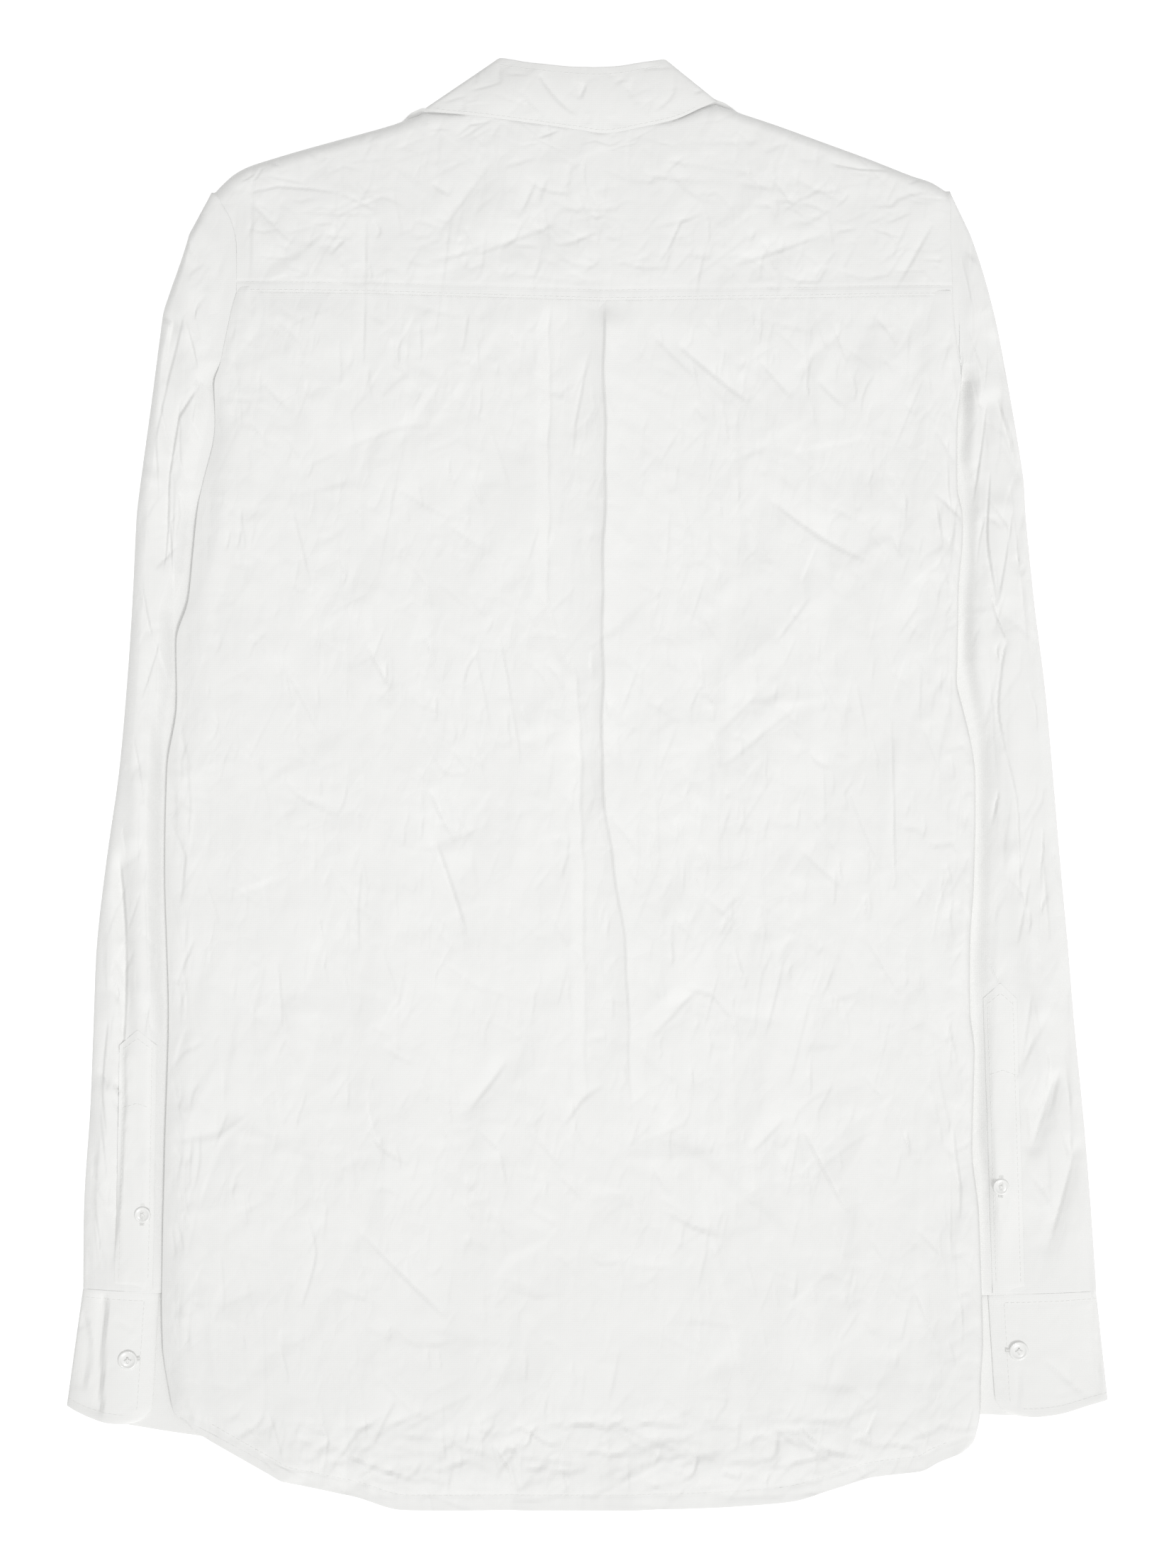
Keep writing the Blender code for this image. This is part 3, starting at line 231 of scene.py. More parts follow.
# Creases seen on the back and yoke: depth, then the places they run through, in picture points
PICTURE_CENTRE, PICTURE_SCALE = (828.5, 1105.5), 0.41
FOLDS = (
    # Yoke
    (1.2, 353, 284, 414, 345), (0.9, 506, 280, 544, 280, 577, 297), (1.1, 690, 234, 617, 333),
    (0.7, 537, 236, 617, 209), (1.5, 659, 364, 789, 314), (0.9, 701, 385, 800, 397),
    (1.6, 1034, 375, 1164, 330), (1.6, 1262, 408, 1315, 316), (0.9, 1114, 249, 1191, 287),
    (0.8, 1040, 257, 1118, 272), (0.8, 957, 230, 1053, 245), (1.0, 967, 203, 1072, 201),
    (0.9, 1145, 395, 1181, 351), (0.9, 992, 383, 1065, 326), (1.1, 923, 322, 980, 307),
    (0.8, 525, 405, 538, 385, 560, 383, 570, 402), (0.7, 400, 330, 440, 322), (0.7, 430, 352, 455, 330),
    (0.6, 850, 240, 905, 262), (0.7, 760, 300, 800, 345), (0.7, 470, 300, 500, 330),
    # Upper right body
    (1.9, 957, 487, 1057, 569), (1.2, 925, 477, 978, 530), (1.4, 1071, 509, 1116, 561),
    (1.4, 1153, 538, 1192, 575), (1.8, 1089, 707, 1158, 757, 1227, 794), (1.3, 1094, 905, 1142, 842),
    (1.0, 1256, 643, 1301, 535), (1.1, 1031, 651, 1084, 630), (0.9, 973, 879, 994, 815),
    (0.8, 938, 826, 944, 720), (0.8, 1180, 480, 1230, 520), (0.8, 900, 540, 950, 560),
    (0.9, 1000, 600, 960, 640), (0.8, 1290, 600, 1330, 560), (0.9, 1060, 450, 1150, 470),
    # Middle right
    (1.2, 1010, 1037, 1068, 979), (1.4, 1020, 1080, 1118, 1000), (1.0, 930, 1085, 954, 1024),
    (0.9, 1015, 1186, 1031, 1133), (1.2, 1126, 1196, 1190, 1254), (0.8, 994, 1270, 1020, 1238),
    (1.2, 1195, 1111, 1242, 1228), (1.1, 1221, 1323, 1269, 1402), (0.8, 1094, 1302, 1147, 1323),
    (1.0, 936, 1429, 989, 1397), (0.9, 920, 1461, 973, 1434), (1.2, 1079, 1461, 1105, 1349),
    (1.6, 919, 1461, 985, 1390), (0.8, 1150, 940, 1185, 1010), (0.8, 1240, 900, 1270, 990),
    (0.8, 1300, 1020, 1330, 1100), (0.9, 1010, 1340, 1040, 1290), (0.8, 1300, 1240, 1335, 1330),
    # Lower right
    (1.5, 1060, 1624, 1105, 1577), (1.7, 1134, 1593, 1195, 1709), (1.1, 1110, 1683, 1126, 1593),
    (1.0, 1174, 1730, 1190, 1773), (0.9, 1227, 1746, 1248, 1778), (1.0, 1142, 1820, 1168, 1796, 1200, 1810),
    (1.1, 1184, 1889, 1211, 1847), (1.2, 1290, 1820, 1322, 1894), (0.9, 957, 1757, 1004, 1725),
    (1.0, 983, 1820, 999, 1746), (1.0, 888, 1614, 920, 1582), (1.1, 888, 1783, 952, 1788),
    (0.9, 888, 1619, 903, 1573), (1.1, 893, 1614, 964, 1584, 975, 1543), (0.9, 1260, 1560, 1290, 1640),
    (0.8, 1330, 1460, 1350, 1540), (0.8, 1080, 1900, 1110, 1960), (0.8, 930, 1880, 990, 1910),
    # Upper left
    (1.0, 389, 451, 418, 477, 430, 503), (0.9, 479, 482, 482, 541), (0.9, 555, 482, 558, 519),
    (1.3, 492, 631, 561, 604, 606, 599), (1.1, 371, 541, 413, 583), (1.0, 304, 564, 381, 564),
    (1.0, 434, 657, 476, 638), (1.1, 413, 721, 439, 826), (0.9, 339, 721, 347, 773),
    (0.9, 461, 869, 519, 837), (0.9, 516, 885, 548, 964), (0.9, 588, 874, 609, 922),
    (1.1, 635, 742, 678, 773), (0.9, 617, 821, 662, 858), (1.2, 572, 429, 656, 449),
    (0.9, 600, 640, 650, 620), (1.0, 560, 690, 640, 735), (0.9, 690, 600, 720, 690),
    # Middle left
    (1.4, 518, 910, 551, 971), (1.2, 406, 946, 454, 1038), (1.2, 401, 1094, 419, 1119, 475, 1150),
    (1.1, 597, 1033, 628, 1089, 663, 1089), (1.5, 607, 1114, 640, 1186), (1.7, 615, 1186, 635, 1247, 658, 1316),
    (0.9, 620, 1354, 679, 1395), (0.9, 669, 910, 691, 1022), (1.1, 602, 902, 620, 961, 633, 987),
    (1.1, 393, 1359, 398, 1446), (0.9, 786, 1415, 801, 1359), (1.0, 776, 1288, 801, 1334),
    (0.9, 750, 1441, 755, 1390), (0.8, 320, 900, 350, 960), (0.9, 300, 1010, 330, 1060),
    (0.8, 470, 1230, 510, 1290), (0.8, 540, 1340, 560, 1400), (0.8, 290, 1240, 310, 1300),
    # Lower left and centre
    (1.8, 663, 1563, 714, 1497), (1.0, 541, 1479, 582, 1499), (0.9, 521, 1446, 551, 1461),
    (1.7, 796, 1586, 822, 1548, 852, 1530), (1.0, 676, 1576, 714, 1579), (1.2, 704, 1624, 714, 1670),
    (1.1, 750, 1589, 771, 1563), (1.2, 755, 1599, 791, 1645), (1.3, 518, 1538, 531, 1609, 577, 1640),
    (0.9, 618, 1579, 643, 1624), (1.1, 301, 1619, 322, 1568), (0.9, 403, 1461, 419, 1497),
    (1.0, 467, 1553, 490, 1517), (0.8, 439, 1568, 454, 1589), (1.0, 827, 1471, 857, 1459),
    (1.2, 434, 1715, 445, 1768, 426, 1842), (1.0, 318, 1839, 360, 1821), (1.6, 508, 1736, 630, 1858),
    (1.0, 471, 1815, 529, 1836), (1.2, 551, 1868, 588, 1895, 646, 1889), (1.0, 397, 1900, 408, 1948),
    (0.9, 328, 1715, 376, 1693), (0.9, 830, 1757, 851, 1773), (1.3, 830, 1762, 848, 1780, 880, 1776),
    (1.0, 740, 1700, 790, 1730), (0.9, 650, 1700, 690, 1690), (0.8, 700, 1800, 760, 1820),
    # Hem band
    (1.3, 630, 2009, 647, 2038, 687, 2049), (1.0, 446, 1986, 463, 2032), (1.1, 532, 1934, 578, 1986, 624, 2006),
    (1.2, 687, 2043, 744, 2055, 848, 2066), (1.3, 739, 2089, 836, 2072),
    (1.4, 859, 2095, 899, 2066, 951, 2052, 997, 2052, 1020, 2072), (1.1, 1026, 2118, 1060, 2072),
    (1.3, 1089, 2095, 1123, 2061, 1181, 2052), (1.6, 1192, 2095, 1244, 2066),
    (0.9, 380, 1990, 400, 2060), (0.9, 900, 1990, 960, 2010), (0.9, 1040, 2000, 1100, 1990),
)
# Creases seen on the sleeves and collar: depth, then picture points
SLEEVE_FOLDS = (
    (1.4, 291, 546, 297, 600), (1.0, 250, 330, 290, 380), (1.0, 262, 450, 280, 520), (1.0, 225, 560, 240, 640),
    (1.2, 240, 700, 232, 800), (1.0, 201, 985, 228, 895), (0.9, 200, 820, 215, 900), (0.9, 190, 1040, 205, 1130),
    (1.8, 169, 1217, 178, 1330), (1.6, 178, 1330, 175, 1460), (0.9, 145, 1300, 150, 1400),
    (1.0, 140, 1560, 150, 1660), (1.0, 128, 1700, 140, 1800), (0.9, 205, 1250, 210, 1400),
    (2.2, 173, 1440, 175, 1530, 171, 1604, 167, 1678, 160, 1774, 151, 1815),
    (1.4, 152, 1440, 143, 1530, 150, 1600),
    (1.3, 139, 1600, 132, 1690, 142, 1760), (1.2, 128, 1650, 150, 1700), (1.1, 122, 1760, 140, 1800),
    (1.5, 1404, 482, 1428, 577), (1.4, 1391, 572, 1372, 710), (1.4, 1406, 562, 1438, 667),
    (1.3, 1396, 667, 1391, 762, 1406, 852), (1.2, 1428, 720, 1406, 852), (1.2, 1417, 900, 1406, 995, 1417, 1059),
    (1.1, 1417, 1059, 1433, 1133, 1438, 1270), (1.3, 1487, 1522, 1457, 1615), (1.4, 1516, 1622, 1479, 1759),
    (1.2, 1387, 1729, 1413, 1692), (0.9, 1352, 350, 1370, 430), (0.9, 1360, 450, 1385, 520),
    (0.9, 1440, 800, 1450, 900), (0.8, 1470, 1200, 1480, 1330), (0.9, 1455, 1400, 1440, 1500),
    (1.0, 1500, 1480, 1510, 1570),
)
CUFF_FOLDS = (
    (2.0, 150, 1790, 147, 1850, 143, 1900, 141, 1960, 143, 2010), (1.4, 118, 1850, 126, 1900, 118, 1960),
    (1.0, 105, 1880, 128, 1860), (1.2, 1540, 1840, 1549, 1900, 1553, 1975), (0.9, 1472, 1918, 1539, 1977),
    (0.7, 1440, 1925, 1436, 1990), (0.7, 160, 1860, 190, 1880),
)
COLLAR_FOLDS = (
    (1.2, 760, 107, 785, 140, 810, 163), (0.8, 735, 130, 765, 165), (1.0, 665, 128, 708, 117),
    (0.9, 621, 146, 658, 135), (0.8, 600, 150, 625, 152), (0.9, 951, 101, 951, 124, 945, 140, 925, 158),
    (1.1, 980, 130, 992, 127), (0.8, 673, 92, 672, 118), (0.8, 706, 90, 706, 118), (0.8, 880, 120, 900, 150),
)


def smooth(start, end, value):
    t = np.clip((np.asarray(value, float) - start) / (end - start), 0.0, 1.0)
    return t * t * (3.0 - 2.0 * t)


def mix(low, high, share):
    return low + (high - low) * share


def along(points, share):
    """The points at these shares of a polyline's length, from 0 to 1."""
    points = np.array(points, float)
    steps = np.hypot(*np.diff(points[:, :2], axis=0).T)
    lengths = np.concatenate([[0.0], np.cumsum(steps)]) / steps.sum()
    return np.stack([np.interp(share, lengths, column) for column in points.T], axis=-1)


def rounded(points, parts=8):
    """A polyline's points with a soft curve led through them."""
    points = np.array(points, float)
    before = np.concatenate([points[:1], points[:-1]])
    after = np.concatenate([points[1:], points[-1:]])
    slope = (after - before) * 0.5
    size = np.linalg.norm(np.diff(points[:, :2], axis=0), axis=1)
    limit = np.minimum(np.concatenate([size[:1], size]), np.concatenate([size, size[-1:]]))
    length = np.maximum(np.linalg.norm(slope[:, :2], axis=1), 1e-6)
    slope = slope * np.minimum(1.0, limit / length)[:, None]
    out = []
    for index in range(len(points) - 1):
        s = np.linspace(0, 1, parts, endpoint=False)[:, None]
        a, b, m, n = points[index], points[index + 1], slope[index], slope[index + 1]
        out.append((2 * s**3 - 3 * s**2 + 1) * a + (s**3 - 2 * s**2 + s) * m
                   + (-2 * s**3 + 3 * s**2) * b + (s**3 - s**2) * n)
    return np.concatenate(out + [points[-1:]])


def patch(bottom, top, left, right, u, v):
    """Plan positions inside four edge lines, at u across and v upwards."""
    bottom, top = np.array(bottom, float), np.array(top, float)
    u, v = u[..., None], v[..., None]
    across = (1 - v) * along(bottom, u[..., 0]) + v * along(top, u[..., 0])
    upwards = (1 - u) * along(left, v[..., 0]) + u * along(right, v[..., 0])
    corners = (1 - v) * ((1 - u) * bottom[0] + u * bottom[-1]) + v * ((1 - u) * top[0] + u * top[-1])
    return across + upwards - corners


def crease_relief(x, y, creases):
    """Height that these soft straight ridges and hollows add."""
    relief = np.zeros_like(x)
    for x0, y0, x1, y1, half_width, rise in creases:
        length = math.hypot(x1 - x0, y1 - y0)
        forward = ((x - x0) * (x1 - x0) + (y - y0) * (y1 - y0)) / length
        sideways = ((x - x0) * (y1 - y0) - (y - y0) * (x1 - x0)) / length
        beyond = np.maximum(np.abs(forward - length / 2) - length / 2, 0.0)
        relief += rise * np.exp(-((sideways / half_width) ** 2) - (beyond / half_width) ** 2)
    return relief


def pleat_folds(y):
    """The pleat's left fold, right fold and depth at y."""
    table = rounded(PLEAT[::-1], parts=6)
    return [np.interp(y, table[:, 0], column) for column in table[:, 1:].T]


def pleat_relief(x, y):
    """The cloth rolls down into the pleat at its left fold and climbs to a crest at its right one."""
    left, right, depth = pleat_folds(y)
    left = left + 0.5 * np.sin(y / 11.0) + 0.3 * np.sin(y / 4.7)
    right = right + 0.7 * np.sin(y / 23.0) + 0.4 * np.sin(y / 7.9)
    from_left, from_right = x - left, x - right
    share = np.clip(from_left / (right - left), 0.0, 1.0)
    inside = smooth(-PLEAT_ROLL, 0.6, from_left) * (1 - smooth(-PLEAT_STEP, 0.0, from_right))
    climb = 0.9 * np.exp(np.minimum(from_right, 0.0) / 8.0)
    floor = inside * (0.55 * (1 - 0.6 * share) - climb)
    line = 0.2 * np.exp(-(((from_left - 1.2) / 1.1) ** 2)) * (from_right < 0)
    beyond = np.maximum(from_right, 0.0)
    crest = (0.3 + 0.65 * np.exp(-beyond / PLEAT_EDGE_WIDTH)) * np.exp(-beyond / 16.0)
    return PLEAT_STRENGTH * depth * (crest * smooth(-PLEAT_STEP, 0.0, from_right) - floor - line)


# Fine relief, held on plan grids that the pieces read

GRID_STEP = 0.6
GRID_X = np.arange(-320.0, 320.1, GRID_STEP)
GRID_Y = np.arange(-432.0, 432.1, GRID_STEP)


def new_grid():
    return np.zeros((len(GRID_Y), len(GRID_X)))


def window(x0, x1, y0, y1):
    """The part of a grid within these limits, as two slices."""
    a, b = np.clip(((np.array((x0, x1)) - GRID_X[0]) / GRID_STEP).astype(int) + (0, 2), 0, len(GRID_X))
    c, d = np.clip(((np.array((y0, y1)) - GRID_Y[0]) / GRID_STEP).astype(int) + (0, 2), 0, len(GRID_Y))
    return slice(c, d), slice(a, b)


def read(grid, x, y):
    """A grid's value at these places, read between its points."""
    fx = np.clip((x - GRID_X[0]) / GRID_STEP, 0, len(GRID_X) - 1.001)
    fy = np.clip((y - GRID_Y[0]) / GRID_STEP, 0, len(GRID_Y) - 1.001)
    i, j = fx.astype(int), fy.astype(int)
    fx, fy = fx - i, fy - j
    low = grid[j, i] * (1 - fx) + grid[j, i + 1] * fx
    high = grid[j + 1, i] * (1 - fx) + grid[j + 1, i + 1] * fx
    return low * (1 - fy) + high * fy


def blurred(grid, radius):
    """The grid softened by this many millimetres."""
    reach = max(1, int(round(3 * radius / GRID_STEP)))
    weights = np.exp(-0.5 * (np.arange(-reach, reach + 1) * GRID_STEP / radius) ** 2)
    weights /= weights.sum()
    for axis in (0, 1):
        padded = np.pad(grid, [(reach, reach) if a == axis else (0, 0) for a in (0, 1)], mode="edge")
        total = np.zeros_like(grid)
        size = grid.shape[axis]
        for index, weight in enumerate(weights):
            piece = padded[index:index + size] if axis == 0 else padded[:, index:index + size]
            total += weight * piece
        grid = total
    return grid


def facets(rng, across, upward, turn, height):
    """Flat facets of about this size that meet along straight folds."""
    reach, jitter = 560.0, 0.44
    columns, rows = int(2 * reach / across), int(2 * reach / upward)
    i, j = np.meshgrid(np.arange(columns), np.arange(rows))
    px = -reach + (i + rng.uniform(-jitter, jitter, i.shape)) * across + (j % 2) * across / 2
    py = -reach + (j + rng.uniform(-jitter, jitter, i.shape)) * upward
    c, s = math.cos(turn), math.sin(turn)
    px, py = c * px - s * py, s * px + c * py
    pz = rng.normal(0.0, height, i.shape)
    grid = new_grid()
    diagonal = rng.random(i.shape) < 0.5
    for row in range(rows - 1):
        for column in range(columns - 1):
            a, b = (row, column), (row, column + 1)
            d, e = (row + 1, column), (row + 1, column + 1)
            if abs(px[a]) > 340 + across or abs(py[a]) > 450 + upward:
                continue
            pair = ((a, b, e), (a, e, d)) if diagonal[a] else ((a, b, d), (b, e, d))
            for corners in pair:
                (ax, ay, az), (bx, by, bz), (cx, cy, cz) = [(px[k], py[k], pz[k]) for k in corners]
                area = (bx - ax) * (cy - ay) - (cx - ax) * (by - ay)
                if abs(area) < 1e-6:
                    continue
                rows_in, columns_in = window(min(ax, bx, cx), max(ax, bx, cx), min(ay, by, cy), max(ay, by, cy))
                x, y = GRID_X[None, columns_in], GRID_Y[rows_in, None]
                second = ((x - ax) * (cy - ay) - (cx - ax) * (y - ay)) / area
                third = ((bx - ax) * (y - ay) - (x - ax) * (by - ay)) / area
                inside = (second >= 0) & (third >= 0) & (second + third <= 1)
                value = az + second * (bz - az) + third * (cz - az)
                part = grid[rows_in, columns_in]
                part[inside] = value[inside]
    return grid


STEEP_START, GENTLE_WIDTH, FOLD_REACH = 0.3, 2.6, 8


def press_fold(grid, points, width, depth, side):
    """Presses one fold: a narrow steep face on one side of its line and a long gentle one on the other."""
    points = np.asarray(points, float)
    reach = FOLD_REACH * width
    low, high = points.min(axis=0) - reach, points.max(axis=0) + reach
    rows, columns = window(low[0], high[0], low[1], high[1])
    x, y = GRID_X[None, columns], GRID_Y[rows, None]
    nearest = np.full((y.size, x.size), 1e3)
    across, place = np.zeros_like(nearest), np.zeros_like(nearest)
    steps = np.hypot(*np.diff(points, axis=0).T)
    starts = np.concatenate([[0.0], np.cumsum(steps)])
    for (x0, y0), (x1, y1), start, length in zip(points[:-1], points[1:], starts, steps):
        run_x, run_y = (x1 - x0) / length, (y1 - y0) / length
        forward = np.clip((x - x0) * run_x + (y - y0) * run_y, 0.0, length)
        distance = np.hypot(x - x0 - forward * run_x, y - y0 - forward * run_y)
        nearer = distance < nearest
        nearest = np.where(nearer, distance, nearest)
        turned = side * ((x - x0) * run_y - (y - y0) * run_x)
        across = np.where(nearer, np.sign(turned) * distance, across)
        place = np.where(nearer, (start + forward) / starts[-1], place)
    taper = np.sqrt(np.clip(4 * place * (1 - place), 0.0, 1.0))
    steep = 1 - smooth(0.0, 1.0, across / (width * (STEEP_START + (1 - STEEP_START) * taper)))
    gentle = np.exp(np.minimum(across, 0.0) / (GENTLE_WIDTH * width))
    grid[rows, columns] -= depth * taper * np.where(across > 0, steep, gentle)


def lit_side(run):
    """Which side of a line going this way lies towards the light, and how squarely the light meets it."""
    square = (run[1] * LIGHT_SIDE[0] - run[0] * LIGHT_SIDE[1]) / math.hypot(*run)
    return math.copysign(1.0, square), abs(square)


def picture_folds(grid, table, strength=1.0):
    """The folds placed one by one where the picture shows them."""
    for weight, *numbers in table:
        points = (np.array(numbers, float).reshape(-1, 2) - PICTURE_CENTRE) * (PICTURE_SCALE, -PICTURE_SCALE)
        side, square = lit_side(points[-1] - points[0])
        if len(points) > 2:
            points = rounded(points, parts=5)
        width = 0.7 + 1.15 * max(weight - 0.7, 0.0)
        press_fold(grid, points, width, strength * weight * mix(0.85, 0.4, square) * (0.5 + 0.35 * width), side)


def scattered_folds(grid, rng, count, box, angle, spread, length, depth, width):
    """Small folds strewn over a box of x and y, lying about one angle. Most are faint and a few are deep."""
    x0, x1, y0, y1 = box
    for _ in range(count):
        size = length * rng.lognormal(0.0, 0.45)
        turn = math.radians(angle + rng.normal(0.0, spread))
        links = int(rng.integers(1, 4))
        points = [np.array((rng.uniform(x0, x1), rng.uniform(y0, y1)))]
        for _ in range(links):
            points.append(points[-1] + size / links * np.array((math.cos(turn), math.sin(turn))))
            turn += rng.normal(0.0, 0.42)
        side, square = lit_side(points[-1] - points[0])
        side = side if rng.random() < 0.85 else -side
        across = width * rng.lognormal(-0.15, 0.4)
        strength = min(rng.exponential(0.5) + 0.12, 1.9)
        press_fold(grid, points, across, depth * strength * mix(2.1, 0.9, square), side)


# Widths and lengths of the facets, and of the patches over which their pattern and strength change
BIG_FACET, MIDDLE_FACET, OTHER_FACET, SMALL_FACET = (46.0, 84.0), (20.0, 26.0), (16.0, 23.0), (8.0, 10.5)
BLEND_PATCH, CALM_PATCH = (40.0, 50.0), (70.0, 80.0)


def facet_relief(rng, turn, coarse, medium, fine):
    """Three sizes of facet. The middle ones change from one pattern to another over the cloth."""
    big = facets(rng, *BIG_FACET, turn, coarse)
    middle = facets(rng, *MIDDLE_FACET, turn + 0.35, medium)
    other = facets(rng, *OTHER_FACET, turn - 0.5, medium)
    small = facets(rng, *SMALL_FACET, turn + 0.3, fine)
    blend = smooth(-0.4, 0.4, blurred(facets(rng, *BLEND_PATCH, 0.3, 1.0), 6.0))
    calm = mix(0.8, 1.25, smooth(-0.9, 0.9, blurred(facets(rng, *CALM_PATCH, 0.9, 1.0), 10.0)))
    grid = blurred(big, 2.0) + calm * blurred(middle * blend + other * (1 - blend), 0.4)
    return grid + calm * blurred(small, 0.4), calm


def ripples(rng, across, upward, height):
    """Long upright facets: soft ridges and hollows that run down the cloth."""
    return blurred(facets(rng, across, upward, 0.02, height), 1.2)


# Small folds to strew: count, box (x, x, y, y), angle, its spread, length, depth, width
WHOLE = (-250.0, 232.0, -415.0, 392.0)
CALMED_FOLDS = (
    (2300, WHOLE, 92, 26, 13.0, 0.2, 0.8),
    (700, WHOLE, 60, 20, 15.0, 0.19, 0.8),
    (700, WHOLE, 122, 20, 15.0, 0.19, 0.8),
    (900, WHOLE, 2, 26, 12.0, 0.18, 0.7),
    (130, WHOLE, 90, 9, 46.0, 0.3, 1.5),
)
BODY_STREWN = (
    (300, (-200, 208, 288, 384), 4, 26, 17.0, 0.42, 1.0),
    (120, (-200, 208, 288, 384), 50, 40, 14.0, 0.34, 0.9),
    (380, (-215, 205, -416, -366), 3, 22, 22.0, 0.72, 1.7),
    (90, (-215, 205, -412, -380), 50, 40, 13.0, 0.5, 1.0),
    (420, (40, 222, -300, 280), 95, 20, 17.0, 0.24, 1.0),
    (130, (-247, -229, -350, 250), 90, 14, 26.0, 0.36, 1.4),
    (130, (-250, -228, -350, 250), 150, 20, 15.0, 0.36, 1.1),
    (130, (208, 226, -350, 250), 90, 14, 26.0, 0.36, 1.4),
    (130, (205, 227, -350, 250), 30, 20, 15.0, 0.36, 1.1),
)
SLEEVE_STREWN = (
    (260, (-300, -205, -296, 345), 94, 13, 24.0, 0.42, 1.0),
    (90, (-300, -205, 60, 345), 65, 18, 18.0, 0.5, 1.0),
    (30, (-300, -205, -296, 250), 90, 6, 70.0, 0.6, 1.9),
    (260, (205, 300, -296, 345), 86, 13, 24.0, 0.42, 1.0),
    (90, (205, 300, 60, 345), 115, 18, 18.0, 0.5, 1.0),
    (30, (205, 300, -296, 250), 90, 6, 70.0, 0.6, 1.9),
)
BAND_STREWN = (
    (80, (-100, 80, 375, 420), 60, 50, 12.0, 0.42, 0.9),
    (50, (-302, -240, -372, -295), 70, 40, 12.0, 0.2, 0.8),
    (34, (-302, -240, -295, -120), 88, 20, 16.0, 0.2, 0.8),
    (50, (228, 302, -372, -295), 70, 40, 12.0, 0.2, 0.8),
    (34, (228, 302, -295, -120), 88, 20, 16.0, 0.2, 0.8),
)
SIDE_RIDGES_X = (-236.0, 214.0)


def strew(grid, rng, table):
    for row in table:
        scattered_folds(grid, rng, *row)


def body_relief():
    rng = np.random.default_rng(7)
    grid, calm = facet_relief(rng, 0.06, 0.5, 0.42, 0.12)
    upright = smooth(300.0, 250.0, GRID_Y)[:, None] * smooth(-390.0, -330.0, GRID_Y)[:, None]
    right = mix(0.5, 1.0, smooth(-30.0, 60.0, GRID_X))[None, :]
    grid += upright * right * (ripples(rng, 15.0, 120.0, 0.24) + ripples(rng, 22.0, 170.0, 0.6))
    for edge in SIDE_RIDGES_X:
        near = np.exp(-(((GRID_X - edge) / 26.0) ** 2))[None, :]
        grid += upright * near * ripples(rng, 12.0, 70.0, 0.45)
    folds = new_grid()
    strew(folds, rng, CALMED_FOLDS)
    grid += folds * calm
    strew(grid, rng, BODY_STREWN)
    picture_folds(grid, FOLDS)
    return grid


def sleeve_relief():
    rng = np.random.default_rng(19)
    grid = facet_relief(rng, 0.03, 0.3, 0.24, 0.09)[0]
    upright = ripples(rng, 13.0, 110.0, 0.55) + ripples(rng, 7.0, 50.0, 0.16)
    grid += upright * np.where(GRID_X > 0, 1.9, 1.0)[None, :]
    strew(grid, rng, SLEEVE_STREWN)
    picture_folds(grid, SLEEVE_FOLDS, 1.5)
    return grid


def band_relief():
    rng = np.random.default_rng(31)
    grid = facet_relief(rng, 0.4, 0.0, 0.1, 0.05)[0]
    strew(grid, rng, BAND_STREWN)
    picture_folds(grid, COLLAR_FOLDS, 1.5)
    picture_folds(grid, CUFF_FOLDS, 2.3)
    return grid


body_grid = body_relief()
sleeve_grid = sleeve_relief()
band_grid = band_relief()
front_grid = facet_relief(np.random.default_rng(43), 0.2, 0.5, 0.4, 0.12)[0]


def body_top(x, y):
    """The back's and yoke's height without their fine relief."""
    base = BODY_TOP + 0.3 * crease_relief(x, y, BODY_CREASES) + pleat_relief(x, y)
    return np.maximum(base, OVERLAP_LIFT + 3.0)


def rolled(height, edge_height, distance, width):
    """A height that rounds down to its edge's height within this width."""
    across = np.clip(distance / width, 0.0, 1.0)
    return edge_height + (height - edge_height) * np.sqrt(1 - (1 - across) ** 2)


def side_edge_height(y):
    return np.interp(y, (212.0, 231.0), (ROLL_END, ARMHOLE_TOP))


def inside_tuck(x, y):
    """How far a place lies inside the sleeve's hidden part, below zero outside it."""
    across, fold = np.abs(x), np.array(SLEEVE_INNER + (CUFF_INNER_END,))
    distance = np.full_like(across, 1e3)
    for (x0, y0), (x1, y1) in zip(fold[:-1], fold[1:]):
        share = ((across - x0) * (x1 - x0) + (y - y0) * (y1 - y0)) / ((x1 - x0) ** 2 + (y1 - y0) ** 2)
        share = np.clip(share, 0.0, 1.0)
        distance = np.minimum(distance, np.hypot(across - mix(x0, x1, share), y - mix(y0, y1, share)))
    inside = (across > np.interp(y, fold[::-1, 1], fold[::-1, 0])) & (y < UNDERARM_Y)
    return np.where(inside, distance, -distance)


def front_lift(x, y, side):
    """How far a front is lifted by the sleeve and placket below it."""
    over_sleeve = smooth(-LIFT_END, -LIFT_START, inside_tuck(x, y))
    from_centre = np.abs(x - FRONT_CENTRE)
    reach = PLACKET_WIDTH / 2
    rise = OVERLAP_LIFT if side == RIGHT else PLACKET_LIFT
    over_placket = 1 - smooth(reach + CENTRE_REACH, reach + CENTRE_REACH + CENTRE_FADE, from_centre)
    return np.maximum(OVER_SLEEVE * over_sleeve, rise * over_placket)


def body_edge_reach(side, y):
    """How far out the body's side comes near this y."""
    outline = np.array(BACK_LEFT + YOKE_LEFT if side == LEFT else BACK_RIGHT + YOKE_RIGHT)
    near = [side * np.interp(y + shift, outline[:, 1], outline[:, 0]) for shift in EDGE_REACH]
    return np.max(near, axis=0)


# Making the pieces

root = "root"


